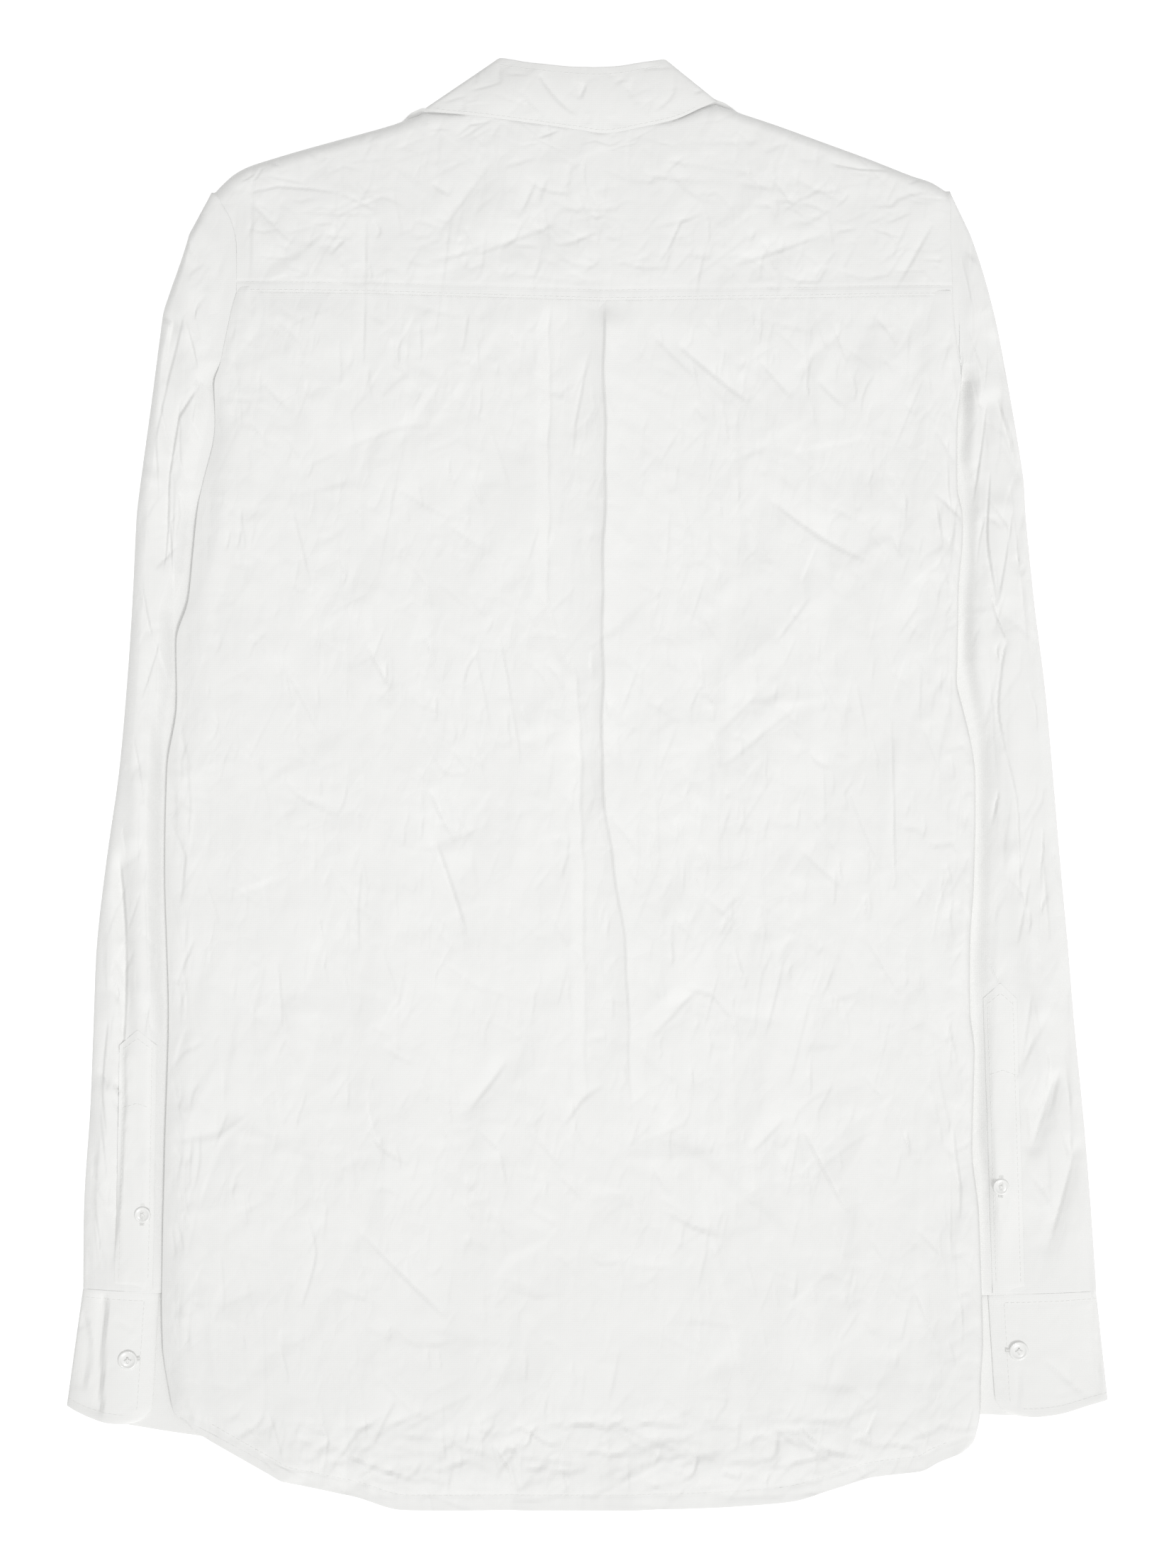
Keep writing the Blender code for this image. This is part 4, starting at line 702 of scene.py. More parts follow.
def grid_normals(points, closed=False, flip=False):
    """Normals in which each face counts by its area, so that a thin turned edge hardly tilts its neighbour."""
    beside = np.roll(points, -1, axis=1) if closed else points[:, 1:]
    here = points if closed else points[:, :-1]
    areas = np.cross(here[:-1] - beside[1:], beside[:-1] - here[1:])
    total = np.zeros_like(points)
    if closed:
        for rows in (slice(0, -1), slice(1, None)):
            total[rows] += areas + np.roll(areas, 1, axis=1)
    else:
        for rows in (slice(0, -1), slice(1, None)):
            total[rows, :-1] += areas
            total[rows, 1:] += areas
    total = -total if flip else total
    return total / np.maximum(np.linalg.norm(total, axis=-1, keepdims=True), 1e-12)


def new_thing(name, data):
    thing = bpy.data.objects.new(name, data)
    bpy.context.scene.collection.objects.link(thing)
    return thing


def new_mesh(name, vertices, faces, soft=True):
    mesh = bpy.data.meshes.new(name)
    mesh.from_pydata(vertices, [], faces)
    if soft:
        mesh.shade_smooth()
    return mesh


def tube_faces(first, rings, sides):
    """The faces of a tube whose rings of points start at this index."""
    faces = []
    for ring in range(rings - 1):
        a = first + ring * sides
        for k in range(sides):
            beside = (k + 1) % sides
            faces.append((a + k, a + beside, a + sides + beside, a + sides + k))
    return faces


def circle(sides):
    return [2 * math.pi * k / sides for k in range(sides)]


def finish_piece(thing, material, nodes):
    thing.data.materials.append(material)
    if nodes:
        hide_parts(*nodes)
    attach(thing, root)
    return thing


def add_grid(name, points, material, nodes=(), closed=False, flip=False, normals=None):
    """A sheet from a grid of points: rows, then columns, which may close into a ring."""
    rows, columns = points.shape[:2]
    index = np.arange(rows * columns).reshape(rows, columns)
    beside = np.roll(index, -1, axis=1)
    if not closed:
        index, beside = index[:, :-1], beside[:, :-1]
    faces = np.stack([index[:-1], beside[:-1], beside[1:], index[1:]], axis=-1).reshape(-1, 4)
    if flip:
        faces = faces[:, ::-1]
    mesh = bpy.data.meshes.new(name)
    mesh.vertices.add(rows * columns)
    mesh.vertices.foreach_set("co", (points.reshape(-1) * MM).astype(np.float32))
    mesh.loops.add(faces.size)
    mesh.loops.foreach_set("vertex_index", faces.reshape(-1).astype(np.int32))
    mesh.polygons.add(len(faces))
    mesh.polygons.foreach_set("loop_start", np.arange(0, faces.size, 4, dtype=np.int32))
    mesh.update(calc_edges=True)
    mesh.shade_smooth()
    if normals is None:
        normals = grid_normals(points, closed, flip)
    mesh.normals_split_custom_set_from_vertices(normals.reshape(-1, 3).tolist())
    return finish_piece(new_thing(name, mesh), material, nodes)


def turned_edge(points, axis, last, turn, amount=1.0):
    """The grid with its edge turned under: turn lists how far inward and down each added line goes."""
    points = np.swapaxes(points, 0, axis) if axis else points
    if last:
        points = points[::-1]
    inward = points[3] - points[0]
    inward[:, 2] = 0.0
    inward /= np.maximum(np.linalg.norm(inward, axis=1, keepdims=True), 1e-9)
    added = []
    for inside, down in turn[::-1]:
        line = points[0] + inward * inside
        line[:, 2] = points[0][:, 2] - down * amount
        added.append(line)
    points = np.concatenate([np.array(added), points])
    if last:
        points = points[::-1]
    return np.swapaxes(points, 0, axis) if axis else points


HEM_TURN = ((0.12, 0.25), (0.5, 0.6), (1.2, 0.75), (6.0, 0.8))
FOLD_TURN = ((0.15, 0.45), (0.6, 0.95), (1.6, 1.25), (5.0, 1.35))
SEAM_TURN = ((0.12, 0.03), (0.4, 0.08), (1.3, 0.14))
SHOULDER_TURN = ((0.15, 0.5), (0.6, 1.0), (1.6, 1.3))
PLACKET_TURN = ((0.15, 0.03), (0.5, 0.08), (1.3, 0.14))
CUFF_EDGE_TURN = ((0.1, 0.2), (0.4, 0.4), (1.5, 0.5))
CUFF_END_TURN = ((0.15, 0.2), (0.45, 0.45), (1.4, 0.6))
COLLAR_TURN = ((0.08, 0.3), (0.4, 0.75), (1.5, 0.9))
YOKE_STEP = 0.45
LAP = ((-0.8, 0.05), (-2.0, 0.15), (-3.4, 0.4))


def seam_pucker(x, distance, seed, amount=0.1, pitch=7.0):
    """Small uneven waves that a row of sewing draws into the cloth beside it."""
    drift = x + 5.0 * np.sin(x / 31.0 + seed) + 2.0 * np.sin(x / 9.3 + 3 * seed)
    wave = np.sin(drift * 2 * math.pi / pitch)
    wave = wave + 0.7 * np.sin(drift * 2 * math.pi / (pitch * 2.63) + 2.1 * seed)
    size = 0.5 + 0.5 * np.sin(x / 17.0 + seed)
    return amount * size * wave * np.exp(-np.abs(distance) / 6.0)


def edge_line(points):
    """One of the body's edges as a soft curve."""
    return rounded(points, parts=10)


def line_y(points, x):
    """The y of an edge that runs from left to right, at these places."""
    return np.interp(x, *np.array(points, float).T)


def row_places(table, height):
    """How far along each row of a table lies, counted in plan and in its height column."""
    steps = np.linalg.norm(np.diff(table[:, :2], axis=0), axis=1) + np.abs(np.diff(table[:, height]))
    return np.concatenate([[0], np.cumsum(steps)])


def back_surface(x, y):
    """Height of the back away from its rolled sides: the stitching reads it too."""
    to_seam = line_y(YOKE_SEAM, x) - y
    flat = smooth(0.0, SEAM_FADE, to_seam)
    top = mix(SEAM_TOP, body_top(x, y), flat) + read(body_grid, x, y) * mix(0.3, 1.0, flat)
    top = top + seam_pucker(x, to_seam, 0.7)
    hem_y = line_y(HEM, x)
    waves = 1.4 * (1 + np.sin(x / 23.0) * np.cos(x / 61.0))
    hem = np.maximum(HEM_END, front_lift(x, y, RIGHT) + 2.4) + waves
    hem = hem + 0.5 * read(body_grid, x, y) + 0.6
    band = np.exp(-(((y - hem_y) - 9.0) / 1.1) ** 2)
    height = mix(hem, top, smooth(0.0, HEM_FADE, y - hem_y)) - 0.35 * band
    return height + seam_pucker(x, y - hem_y - 8, 1.9, 0.14, 9.0)


def make_back(material):
    columns, rows = 560, 440
    left, right = edge_line(BACK_LEFT), edge_line(BACK_RIGHT)
    hem, seam = edge_line(HEM), np.array(YOKE_SEAM)
    u, v = np.meshgrid(np.linspace(0, 1, columns), np.linspace(0, 1, rows))
    u = u - 0.012 * np.sin(2 * math.pi * u)
    plan = patch(hem, seam, left, right, u, v)
    x, y = plan[..., 0], plan[..., 1]
    width = along(right, v[:, 0])[:, 0] - along(left, v[:, 0])[:, 0]
    from_side = np.minimum(u, 1 - u) * width[:, None]
    roll = np.where(x < 0, LEFT_ROLL, RIGHT_ROLL)
    rise = np.where(x < 0, LEFT_RISE, -0.5)
    edge = side_edge_height(y) + rise * smooth(231.0, 205.0, y)
    roll = mix(roll, 6.0, smooth(190.0, 231.0, y))
    top = back_surface(x, y)
    sloped = edge + (top - edge) * (1 - (1 - np.clip(from_side / roll, 0.0, 1.0)) ** 1.7)
    top = np.where(x < 0, sloped, rolled(top, edge, from_side, roll))
    points = np.stack([x, y, top], axis=-1)
    points = turned_edge(points, 0, False, HEM_TURN)
    points = turned_edge(points, 0, True, LAP)
    amount = mix(1.0, 0.16, smooth(212.0, 231.0, points[:, 0, 1]))
    points = turned_edge(points, 1, False, FOLD_TURN, 0.3 * amount)
    points = turned_edge(points, 1, True, FOLD_TURN, 1.35 * amount)
    normals = grid_normals(points)
    cuts = np.linspace(0, points.shape[1] - 1, 4).astype(int)
    for name, first, last in zip(("back_left", "back_middle", "back_right"), cuts[:-1], cuts[1:]):
        part = slice(first, last + 1)
        thing = add_grid(f"{name}_cloth", points[:, part], material, ["back"], normals=normals[:, part])


def yoke_line():
    """The yoke's upper edge: shoulder, neck and shoulder."""
    return np.concatenate([rounded(part, parts=6) for part in (SHOULDER_LEFT, NECK_SEAM, SHOULDER_RIGHT)])


def make_yoke(material):
    columns, rows = 440, 96
    top_line = yoke_line()
    seam = np.array(YOKE_SEAM) + (0.0, 0.1)
    v = np.concatenate([np.linspace(0.0, 0.86, rows - 24), np.linspace(0.86, 1.0, 25)[1:]])
    u, v = np.meshgrid(np.linspace(0, 1, columns), v)
    plan = patch(seam, top_line, edge_line(YOKE_LEFT), edge_line(YOKE_RIGHT), u, v)
    x, y = plan[..., 0], plan[..., 1]
    top_x = along(top_line, u)[..., 0]
    depth = along(top_line, u)[..., 1] - along(seam, u)[..., 1]
    from_side = np.minimum(u, 1 - u) * (YOKE_RIGHT[0][0] - YOKE_LEFT[0][0])
    flat = smooth(0.0, SEAM_FADE, v * depth)
    top = mix(SEAM_TOP + YOKE_STEP, body_top(x, y), flat)
    top = mix(ARMHOLE_TOP, top, smooth(0.0, SEAM_FADE, from_side))
    crumples = read(body_grid, x, y) * mix(0.3, 1.0, flat) * mix(0.4, 1.0, smooth(0.0, 10.0, from_side))
    groove = 0.3 * np.exp(-((v * depth - 6.0) / 0.9) ** 2)
    top = top + crumples + seam_pucker(x, v * depth, 2.6) - groove
    shoulder = np.maximum(smooth(SHOULDER_LEFT[-1][0], SHOULDER_LEFT[-1][0] - 14.0, top_x),
                          smooth(SHOULDER_RIGHT[0][0], SHOULDER_RIGHT[0][0] + 14.0, top_x))
    collar_seam = np.array([row for row in COLLAR if row[4] >= 3.0 and row[1] > 370.0])
    seam_height = np.interp(top_x, collar_seam[:, 0], collar_seam[:, 4])
    edge = mix(seam_height + collar_lift(top_x, seam_height) - 0.12, SHOULDER_END, shoulder)
    top = rolled(top, edge, (1 - v) * depth, mix(3.0, ROLL_WIDTH, smooth(SEAM_TOP, SEAM_TOP - 4.0, edge)))
    points = turned_edge(np.stack([x, y, top], axis=-1), 0, False, SEAM_TURN)
    under_collar = 1 - shoulder[-1]
    folded = turned_edge(points, 0, True, SHOULDER_TURN)
    lapped = turned_edge(points, 0, True, LAP)
    points = mix(folded, lapped, under_collar[None, :, None])
    points = turned_edge(points, 1, False, SEAM_TURN)
    points = turned_edge(points, 1, True, SEAM_TURN)
    thing = add_grid("yoke_cloth", points, material, ["yoke"])


def front_outline(side):
    """A front's hem, top, side and centre edges, drawn in a little from the back's."""
    shoulder = SHOULDER_LEFT if side == LEFT else SHOULDER_RIGHT[::-1]
    neckline = NECKLINE_LEFT if side == LEFT else NECKLINE_RIGHT
    outline = BACK_LEFT if side == LEFT else BACK_RIGHT
    centre_x = neckline[-1][0]
    top = tuple((x - side * FRONT_INSET, y - FRONT_INSET) for x, y in shoulder[:-1]) + neckline[:1]
    armhole = tuple((x - side * ARMHOLE_INSET, y + ARMHOLE_INSET) for x, y in ARMHOLE_LOWER[side][:-1])
    body_side = tuple((x - side * FRONT_INSET, y) for x, y in outline if y < UNDERARM_Y - 8)
    side_edge = body_side + armhole + top[:1]
    hem = tuple((x, y + FRONT_INSET) for x, y in HEM if side * (x - centre_x) > 14.0)
    hem = hem if side == LEFT else hem[::-1]
    hem = side_edge[:1] + hem[1:] + ((centre_x, HEM_CENTRE_Y + FRONT_INSET),)
    return hem, top, side_edge, hem[-1:] + neckline[::-1]


def make_front(side, name, node, material):
    hem, top, side_edge, centre_edge = front_outline(side)
    columns, rows = 64, 220
    u, v = np.meshgrid(np.linspace(0, 1, columns), np.linspace(0, 1, rows))
    plan = patch(hem, top, side_edge, centre_edge, u, v)
    x, y = plan[..., 0], plan[..., 1]
    lift = front_lift(x, y, side)
    from_side = np.minimum(u, 1 - u) * 210.0
    raised = 0.55 * np.clip(read(front_grid, x, y), -0.4, 2.2) * smooth(0.0, 12.0, from_side)
    height = lift + 0.35 + np.maximum(raised + 0.2, 0.0)
    thing = add_grid(name, np.stack([x, y, height], axis=-1), material, [node], flip=side == RIGHT)


def make_front_placket(material):
    left = FRONT_CENTRE - PLACKET_WIDTH / 2
    columns, rows = 13, 260
    u, v = np.meshgrid(np.linspace(0, 1, columns), np.linspace(0, 1, rows))
    x = left + 0.5 + u * (PLACKET_WIDTH - 1.0)
    y = mix(HEM_CENTRE_Y + 1.4, NECKLINE_LEFT[-1][1] - 0.8, v)
    edge = np.minimum(u, 1 - u) * PLACKET_WIDTH
    height = PLACKET_LIFT + 0.35 + 0.25 * read(band_grid, x, y) * smooth(0, 6, edge)
    height = height + 0.12 * np.exp(-((edge - 5) / 0.8) ** 2)
    points = np.stack([x, y, np.clip(height, PLACKET_LIFT + 0.05, PLACKET_LIFT + 1.15)], axis=-1)
    thing = add_grid("front_placket_band", points, material, ["front_placket"])


def ring_line(side, t):
    """A line across the flattened sleeve in plan, which meets both of its folds squarely."""
    ends = []
    for fold, mirror, turn, share in ((OUTER[side], 1, 1, t), (INNER, side, -1, t**INNER_PACE)):
        end = along(fold, share) * (mirror, 1)
        ahead = min(share + 0.01, 1.0)
        step = along(fold, ahead) * (mirror, 1) - along(fold, ahead - 0.02) * (mirror, 1)
        inwards = turn * side * np.array((step[1], -step[0])) / math.hypot(*step)
        ends.append((end, end + RING_HANDLE * inwards))
    (outer, outer_handle), (inner, inner_handle) = ends
    s = np.linspace(0.0, 1.0, 161)[:, None]
    line = (1 - s) ** 3 * outer + 3 * s * (1 - s) ** 2 * outer_handle
    line = line + 3 * s**2 * (1 - s) * inner_handle + s**3 * inner
    line[:, 0] += side * RING_BOW * max(0.0, 1 - t / RING_BOW_REACH) ** 2 * np.sin(math.pi * s[:, 0])
    return line


OUTER = {side: rounded(SLEEVE_OUTER[side], parts=6) for side in (LEFT, RIGHT)}
INNER = rounded(SLEEVE_INNER, parts=6)
OPEN_COLUMNS, HIDDEN_COLUMNS = 72, 12
# Distances of a ring's closest points from its outer and from its inner fold
OUTER_STEPS = (0.0, 0.25, 0.8, 1.6, 2.6, 3.8, 5.2)
INNER_STEPS = (2.2, 0.9, 0.2)
UPPER_COLUMNS = OPEN_COLUMNS + HIDDEN_COLUMNS + len(INNER_STEPS)
# Added rings: at the armhole, inward and down; at the cuff, inward, onward and up from below or down from above
ARMHOLE_TUCK = ((3.4, 0.5), (2.0, 0.2), (0.9, 0.05))
CUFF_TUCK = ((0.25, 1.0, 0.1), (0.5, 3.0, 0.3))
UNDER = np.concatenate([(0.997, 0.985, 0.95), np.linspace(0.88, 0.12, 15), (0.05, 0.018, 0.005)])


def sleeve_height(side, x, y, from_fold):
    """Height of the sleeve's upper face: low beside the body, rising out of the groove to the open part."""
    outside = side * x - body_edge_reach(side, y)
    tucked = np.interp(y, (UNDERARM_Y + 3, UNDERARM_Y + 20, 232.0, 244.0),
                       (TUCKED, TUCKED_OPEN[side], TUCKED_OPEN[side], ARMHOLE_TOP - 0.14))
    open_top = np.interp(y, *SLEEVE_TOP) + crease_relief(x, y, SLEEVE_CREASES[side])
    start, end = GROOVE[side]
    open_share = smooth(UNDERARM_Y + 60, UNDERARM_Y - 20, y) * smooth(-170.0, -110.0, y)
    rising = smooth(mix(GROOVE_START, start, open_share), mix(12.0, end, open_share), outside)
    height = mix(tucked, open_top, rising) + read(sleeve_grid, x, y) * mix(0.1, 1.0, smooth(3.0, 12.0, outside))
    roll = mix(SLEEVE_ROLL, LEFT_SLOPE, smooth(60.0, -60.0, y)) if side == LEFT else SLEEVE_ROLL
    return rolled(height, open_top * 0.35 + 0.1, from_fold, roll)


def cuff_height(side, x):
    """How high the cuff's upper face lies above this place on its seam."""
    upper = [(abs(row[0]), row[3]) for row in CUFFS[side][:6]]
    hidden = [(abs(row[0]), row[3]) for row in CUFFS[side][16:19] if abs(row[0]) < upper[0][0] - 2]
    return np.interp(np.abs(x), *np.array(hidden + upper).T)


def sleeve_rings(side, count=350):
    """Closed rings of points from the armhole to the cuff: the upper face, then the lower one."""
    rings = []
    first = ring_line(side, FIRST_RING)
    for ring in range(count):
        t = ring / (count - 1)
        line = ring_line(side, max(t, FIRST_RING))
        lower_line = line
        if t < FIRST_RING:
            share = np.linspace(0, 1, len(first))
            part = t / FIRST_RING
            upper_edge, lower_edge = rounded(ARMHOLE_UPPER[side], 5), rounded(ARMHOLE_LOWER[side][::-1], 5)
            line = mix(along(upper_edge, share), along(first, share), part)
            lower_line = mix(along(lower_edge, share), along(first, share), part)
        lengths = np.concatenate([[0.0], np.cumsum(np.hypot(*np.diff(line, axis=0).T))])
        outside = side * line[:, 0] - body_edge_reach(side, line[:, 1])
        open_part = outside > GROOVE_START - (1 - min(t / FIRST_RING, 1.0)) * 3.0
        edge = lengths[open_part].max() if open_part.any() else 0.5 * lengths[-1]
        inner = lengths[-1]
        distance = np.concatenate([OUTER_STEPS, np.linspace(6.6, edge, OPEN_COLUMNS - len(OUTER_STEPS)),
                                   np.linspace(edge, inner - 4.0, HIDDEN_COLUMNS + 1)[1:],
                                   inner - np.array(INNER_STEPS)])
        upper, lower = along(line, distance / inner), along(lower_line, UNDER)
        top = sleeve_height(side, upper[:, 0], upper[:, 1], distance)
        top = top * mix(1.0, 0.55, smooth(3.5, 0.0, inner - distance))
        to_cuff = smooth(0.93, 0.995, t) * smooth(0.5, 4.0, distance)
        top = mix(top, cuff_height(side, upper[:, 0]) - 0.06, to_cuff)
        outer_floor = 1.3 * np.exp(-UNDER / 0.012)
        floor = outer_floor + 0.9 * np.exp(-(1 - UNDER) / 0.008)
        crumples = 0.25 * np.maximum(read(front_grid, lower[:, 0], lower[:, 1]), 0)
        floor = floor + crumples * smooth(0, 0.1, UNDER * (1 - UNDER))
        rings.append(np.concatenate([np.column_stack([upper, top]), np.column_stack([lower, floor])]))
    return np.array(rings)


def make_sleeve(side, word, material):
    rings = sleeve_rings(side)
    tucks = []
    for inside, down in ARMHOLE_TUCK:
        line = rings[0].copy()
        line[:UPPER_COLUMNS, 0] -= side * inside
        line[:UPPER_COLUMNS, 2] -= down
        tucks.append(line)
    ends = []
    for inside, ahead, rise in CUFF_TUCK:
        line = rings[-1].copy()
        middle = line[:, 0].mean()
        line[:, 0] += np.clip(middle - line[:, 0], -inside, inside)
        line[:, 1] -= ahead
        line[:UPPER_COLUMNS, 2] -= rise
        line[UPPER_COLUMNS:, 2] += rise
        ends.append(line)
    points = np.concatenate([np.array(tucks), rings, np.array(ends)])
    thing = add_grid(f"sleeve_cloth_{word}", points, material, [f"sleeve_{word}"], closed=True,
                     flip=side == LEFT)
    return rings


def cuff_points(side, columns=170, rows=CUFF_ROWS):
    table = rounded(CUFFS[side], parts=8)
    table[:, 3] -= 1.2 * np.exp(-np.arange(len(table)) / 9.0)
    place = row_places(table, 3)
    at = np.linspace(0, place[-1], columns)
    xs, xe, ye, z = [np.interp(at, place, column) for column in table.T]
    share = np.linspace(0, 1, rows)[:, None]
    seam_inner, seam_outer = CUFF_SEAM[side]
    seam_y = np.interp(np.abs(xs), CUFF_SPAN, (seam_inner, seam_outer))
    length = seam_y[0] - ye[0]
    into_corner = np.clip((share * length - (length - CUFF_CORNER)) / CUFF_CORNER, 0.0, 1.0)
    cut = CUFF_CORNER * (1 - np.sqrt(1 - 0.98 * into_corner**2))
    lapped = at < 0.25 * place[-1]
    from_end = np.abs(xs - xs[0]) / CUFF_CORNER_REACH
    x = mix(xs, xe, share) + side * cut * np.clip(1 - from_end, 0.0, 1.0) * lapped
    y = mix(seam_y, ye, share)
    on_top = lapped * smooth(1.5, 5.0, z)
    edge = np.minimum(share, 1 - share) * length
    relief = 0.9 * read(band_grid, x, y) * smooth(0, 8, edge) * on_top
    relief = relief - 0.22 * np.exp(-((edge - 5.5) / 0.9) ** 2) * on_top
    height = z + np.maximum(relief, -0.36 * z)
    return np.stack([x, y, np.broadcast_to(height, x.shape)], axis=-1)


def make_cuff(side, word, material):
    points = cuff_points(side)
    body = turned_edge(points, 0, True, CUFF_EDGE_TURN)
    body = turned_edge(body, 0, False, SEAM_TURN)
    body[-3:, :, 2] = np.maximum(body[-3:, :, 2], 0.02)
    body = turned_edge(body, 1, False, CUFF_END_TURN)
    thing = add_grid(f"cuff_band_{word}", body, material, [f"cuff_{word}"], flip=side == RIGHT)
    return points


def strip_height(rings, x, y, reach=0.4):
    """The highest point of the sleeve's upper face near each place."""
    upper = rings[::2, :OPEN_COLUMNS + 4:2]
    rows, columns = upper.shape[:2]
    index = np.arange(rows * columns).reshape(rows, columns)
    faces = np.stack([index[:-1, :-1], index[:-1, 1:], index[1:, 1:], index[1:, :-1]], axis=-1).reshape(-1, 4)
    tree = BVHTree.FromPolygons(upper.reshape(-1, 3).tolist(), faces.tolist())
    heights = []
    for px, py in zip(np.ravel(x), np.ravel(y)):
        starts = [Vector((px + dx, py, 60.0)) for dx in (-reach, 0.0, reach)]
        hits = [tree.ray_cast(start, Vector((0, 0, -1)))[0] for start in starts]
        heights.append(max([hit.z for hit in hits if hit] or [6.0]))
    return np.reshape(heights, np.shape(x))


def placket_points(side, rings):
    shape = SLEEVE_PLACKET[side]
    rows, columns = 100, 26
    share = np.linspace(0, 1, rows)[:, None]
    across = np.linspace(0, 1, columns)
    x = mix(mix(*shape["top"], across), mix(*shape["end"], across), share)
    peak = PLACKET_PEAK * (1 - np.abs(2 * across - 1)) * (1 - share) ** 3
    y = mix(shape["y_top"], shape["y_end"] - 1.5, share) + peak
    base = strip_height(rings, x, y)
    grid = base.copy()
    for _ in range(6):
        grid[1:-1] = (grid[:-2] + 2 * grid[1:-1] + grid[2:]) / 4
        grid[:, 1:-1] = (grid[:, :-2] + 2 * grid[:, 1:-1] + grid[:, 2:]) / 4
    height = np.maximum(grid, base - 0.05)
    edge = np.minimum(np.minimum(across, 1 - across) * 21.0, share * 140.0)
    height = height + 0.1 + 0.3 * smooth(0.0, 4.0, edge)
    height = height - 0.08 * np.exp(-((edge - 2.2) / 0.9) ** 2)
    height = height + 0.3 * read(band_grid, x, y) * smooth(0.0, 4.0, edge)
    return np.stack([x, y, height], axis=-1)


def make_sleeve_placket(side, word, rings, material):
    points = placket_points(side, rings)
    body = points
    for axis, last in ((1, False), (1, True), (0, False)):
        body = turned_edge(body, axis, last, PLACKET_TURN)
    thing = add_grid(f"sleeve_placket_band_{word}", body, material, [f"sleeve_placket_{word}"],
                     flip=True)
    return points


def collar_lift(x, z):
    """The outer face above its packed height: fuller at the middle and falling away to both ends."""
    ends = np.maximum(smooth(-52.0, -90.0, x), smooth(34.0, 70.0, x))
    return (0.9 - 1.8 * ends) * smooth(3.0, 7.0, z)


def collar_points(columns=300, rows=44):
    table = rounded(COLLAR, parts=8)
    place = row_places(table, 4)
    at = np.linspace(0, place[-1], columns)
    xs, ys, xe, ye, z = [np.interp(at, place, column) for column in table.T]
    share = np.linspace(0, 1, rows)[:, None]
    x, y = mix(xs, xe, share), mix(ys, ye, share)
    on_top = smooth(3.0, 8.0, z) * (ys > 350.0)
    height = z + collar_lift(xs, z) * (ys > 350.0) - 1.4 * share**2 * on_top
    edge = np.minimum(share, 1 - share) * 38.0
    relief = read(band_grid, x, y) * smooth(0.0, 5.0, edge) * on_top
    relief = relief + 1.1 * np.sin(np.clip(share, 0, 1) * math.pi) * on_top
    height = height + np.where(relief < 0, np.maximum(relief, -1.2), relief)
    return np.stack([x, y, height], axis=-1)


def make_collar(material):
    points = collar_points()
    body = turned_edge(points, 0, True, COLLAR_TURN)
    body = turned_edge(body, 0, False, SEAM_TURN)
    body[..., 2] = np.maximum(body[..., 2], 0.02)
    thing = add_grid("collar_band", body, material, ["collar"])
    return points


STITCH_LENGTH, STITCH_GAP, STITCH_RADIUS, STITCH_SIDES = 2.4, 0.8, 0.14, 6
# Along a stitch: share of its length, share of its radius
STITCH_PROFILE = ((0.0, 0.25), (0.12, 0.8), (0.5, 1.0), (0.88, 0.8), (1.0, 0.25))


def stitches(name, lines, material):
    """Rows of short raised stitches. Each line is a list of points on the cloth."""
    vertices, faces = [], []
    for line in lines:
        line = np.asarray(line, float)
        steps = np.linalg.norm(np.diff(line, axis=0), axis=1)
        place = np.concatenate([[0.0], np.cumsum(steps)])
        start = 0.4
        while start + STITCH_LENGTH < place[-1]:
            at = np.array([start + share * STITCH_LENGTH for share, _ in STITCH_PROFILE])
            centre = np.stack([np.interp(at, place, column) for column in line.T], axis=-1)
            run = centre[-1] - centre[0]
            run /= max(np.linalg.norm(run), 1e-9)
            side = np.cross(run, (0.0, 0.0, 1.0))
            side /= max(np.linalg.norm(side), 1e-9)
            up = np.cross(side, run)
            faces += tube_faces(len(vertices), len(STITCH_PROFILE), STITCH_SIDES)
            for (_, size), c in zip(STITCH_PROFILE, centre):
                lift = 0.35 * size * STITCH_RADIUS
                for angle in circle(STITCH_SIDES):
                    round_it = math.cos(angle) * side * 1.25 + math.sin(angle) * up
                    vertices.append(c + STITCH_RADIUS * size * round_it + lift * up)
            start += STITCH_LENGTH + STITCH_GAP
    mesh = new_mesh(name, [Vector(v) * MM for v in vertices], faces)
    finish_piece(new_thing(name, mesh), material, ())


def offset_line(points, inward, count):
    """A line this far from a curve, on its left-hand side."""
    line = along(points, np.linspace(0, 1, count))
    run = np.gradient(line, axis=0)
    run /= np.maximum(np.linalg.norm(run, axis=1, keepdims=True), 1e-9)
    return line + inward * np.column_stack([-run[:, 1], run[:, 0]])


def yoke_surface(x, y):
    """Height of the yoke near its lower seam, where its stitching lies."""
    distance = y - line_y(YOKE_SEAM, x)
    flat = smooth(0.0, SEAM_FADE, distance)
    top = mix(SEAM_TOP + YOKE_STEP, body_top(x, y), flat) + read(body_grid, x, y) * mix(0.3, 1.0, flat)
    side = np.minimum(x - YOKE_LEFT[0][0], YOKE_RIGHT[0][0] - x)
    top = mix(ARMHOLE_TOP, top, smooth(0.0, SEAM_FADE, side))
    return top + seam_pucker(x, distance, 2.6) - 0.3 * np.exp(-((distance - 6.0) / 0.9) ** 2)


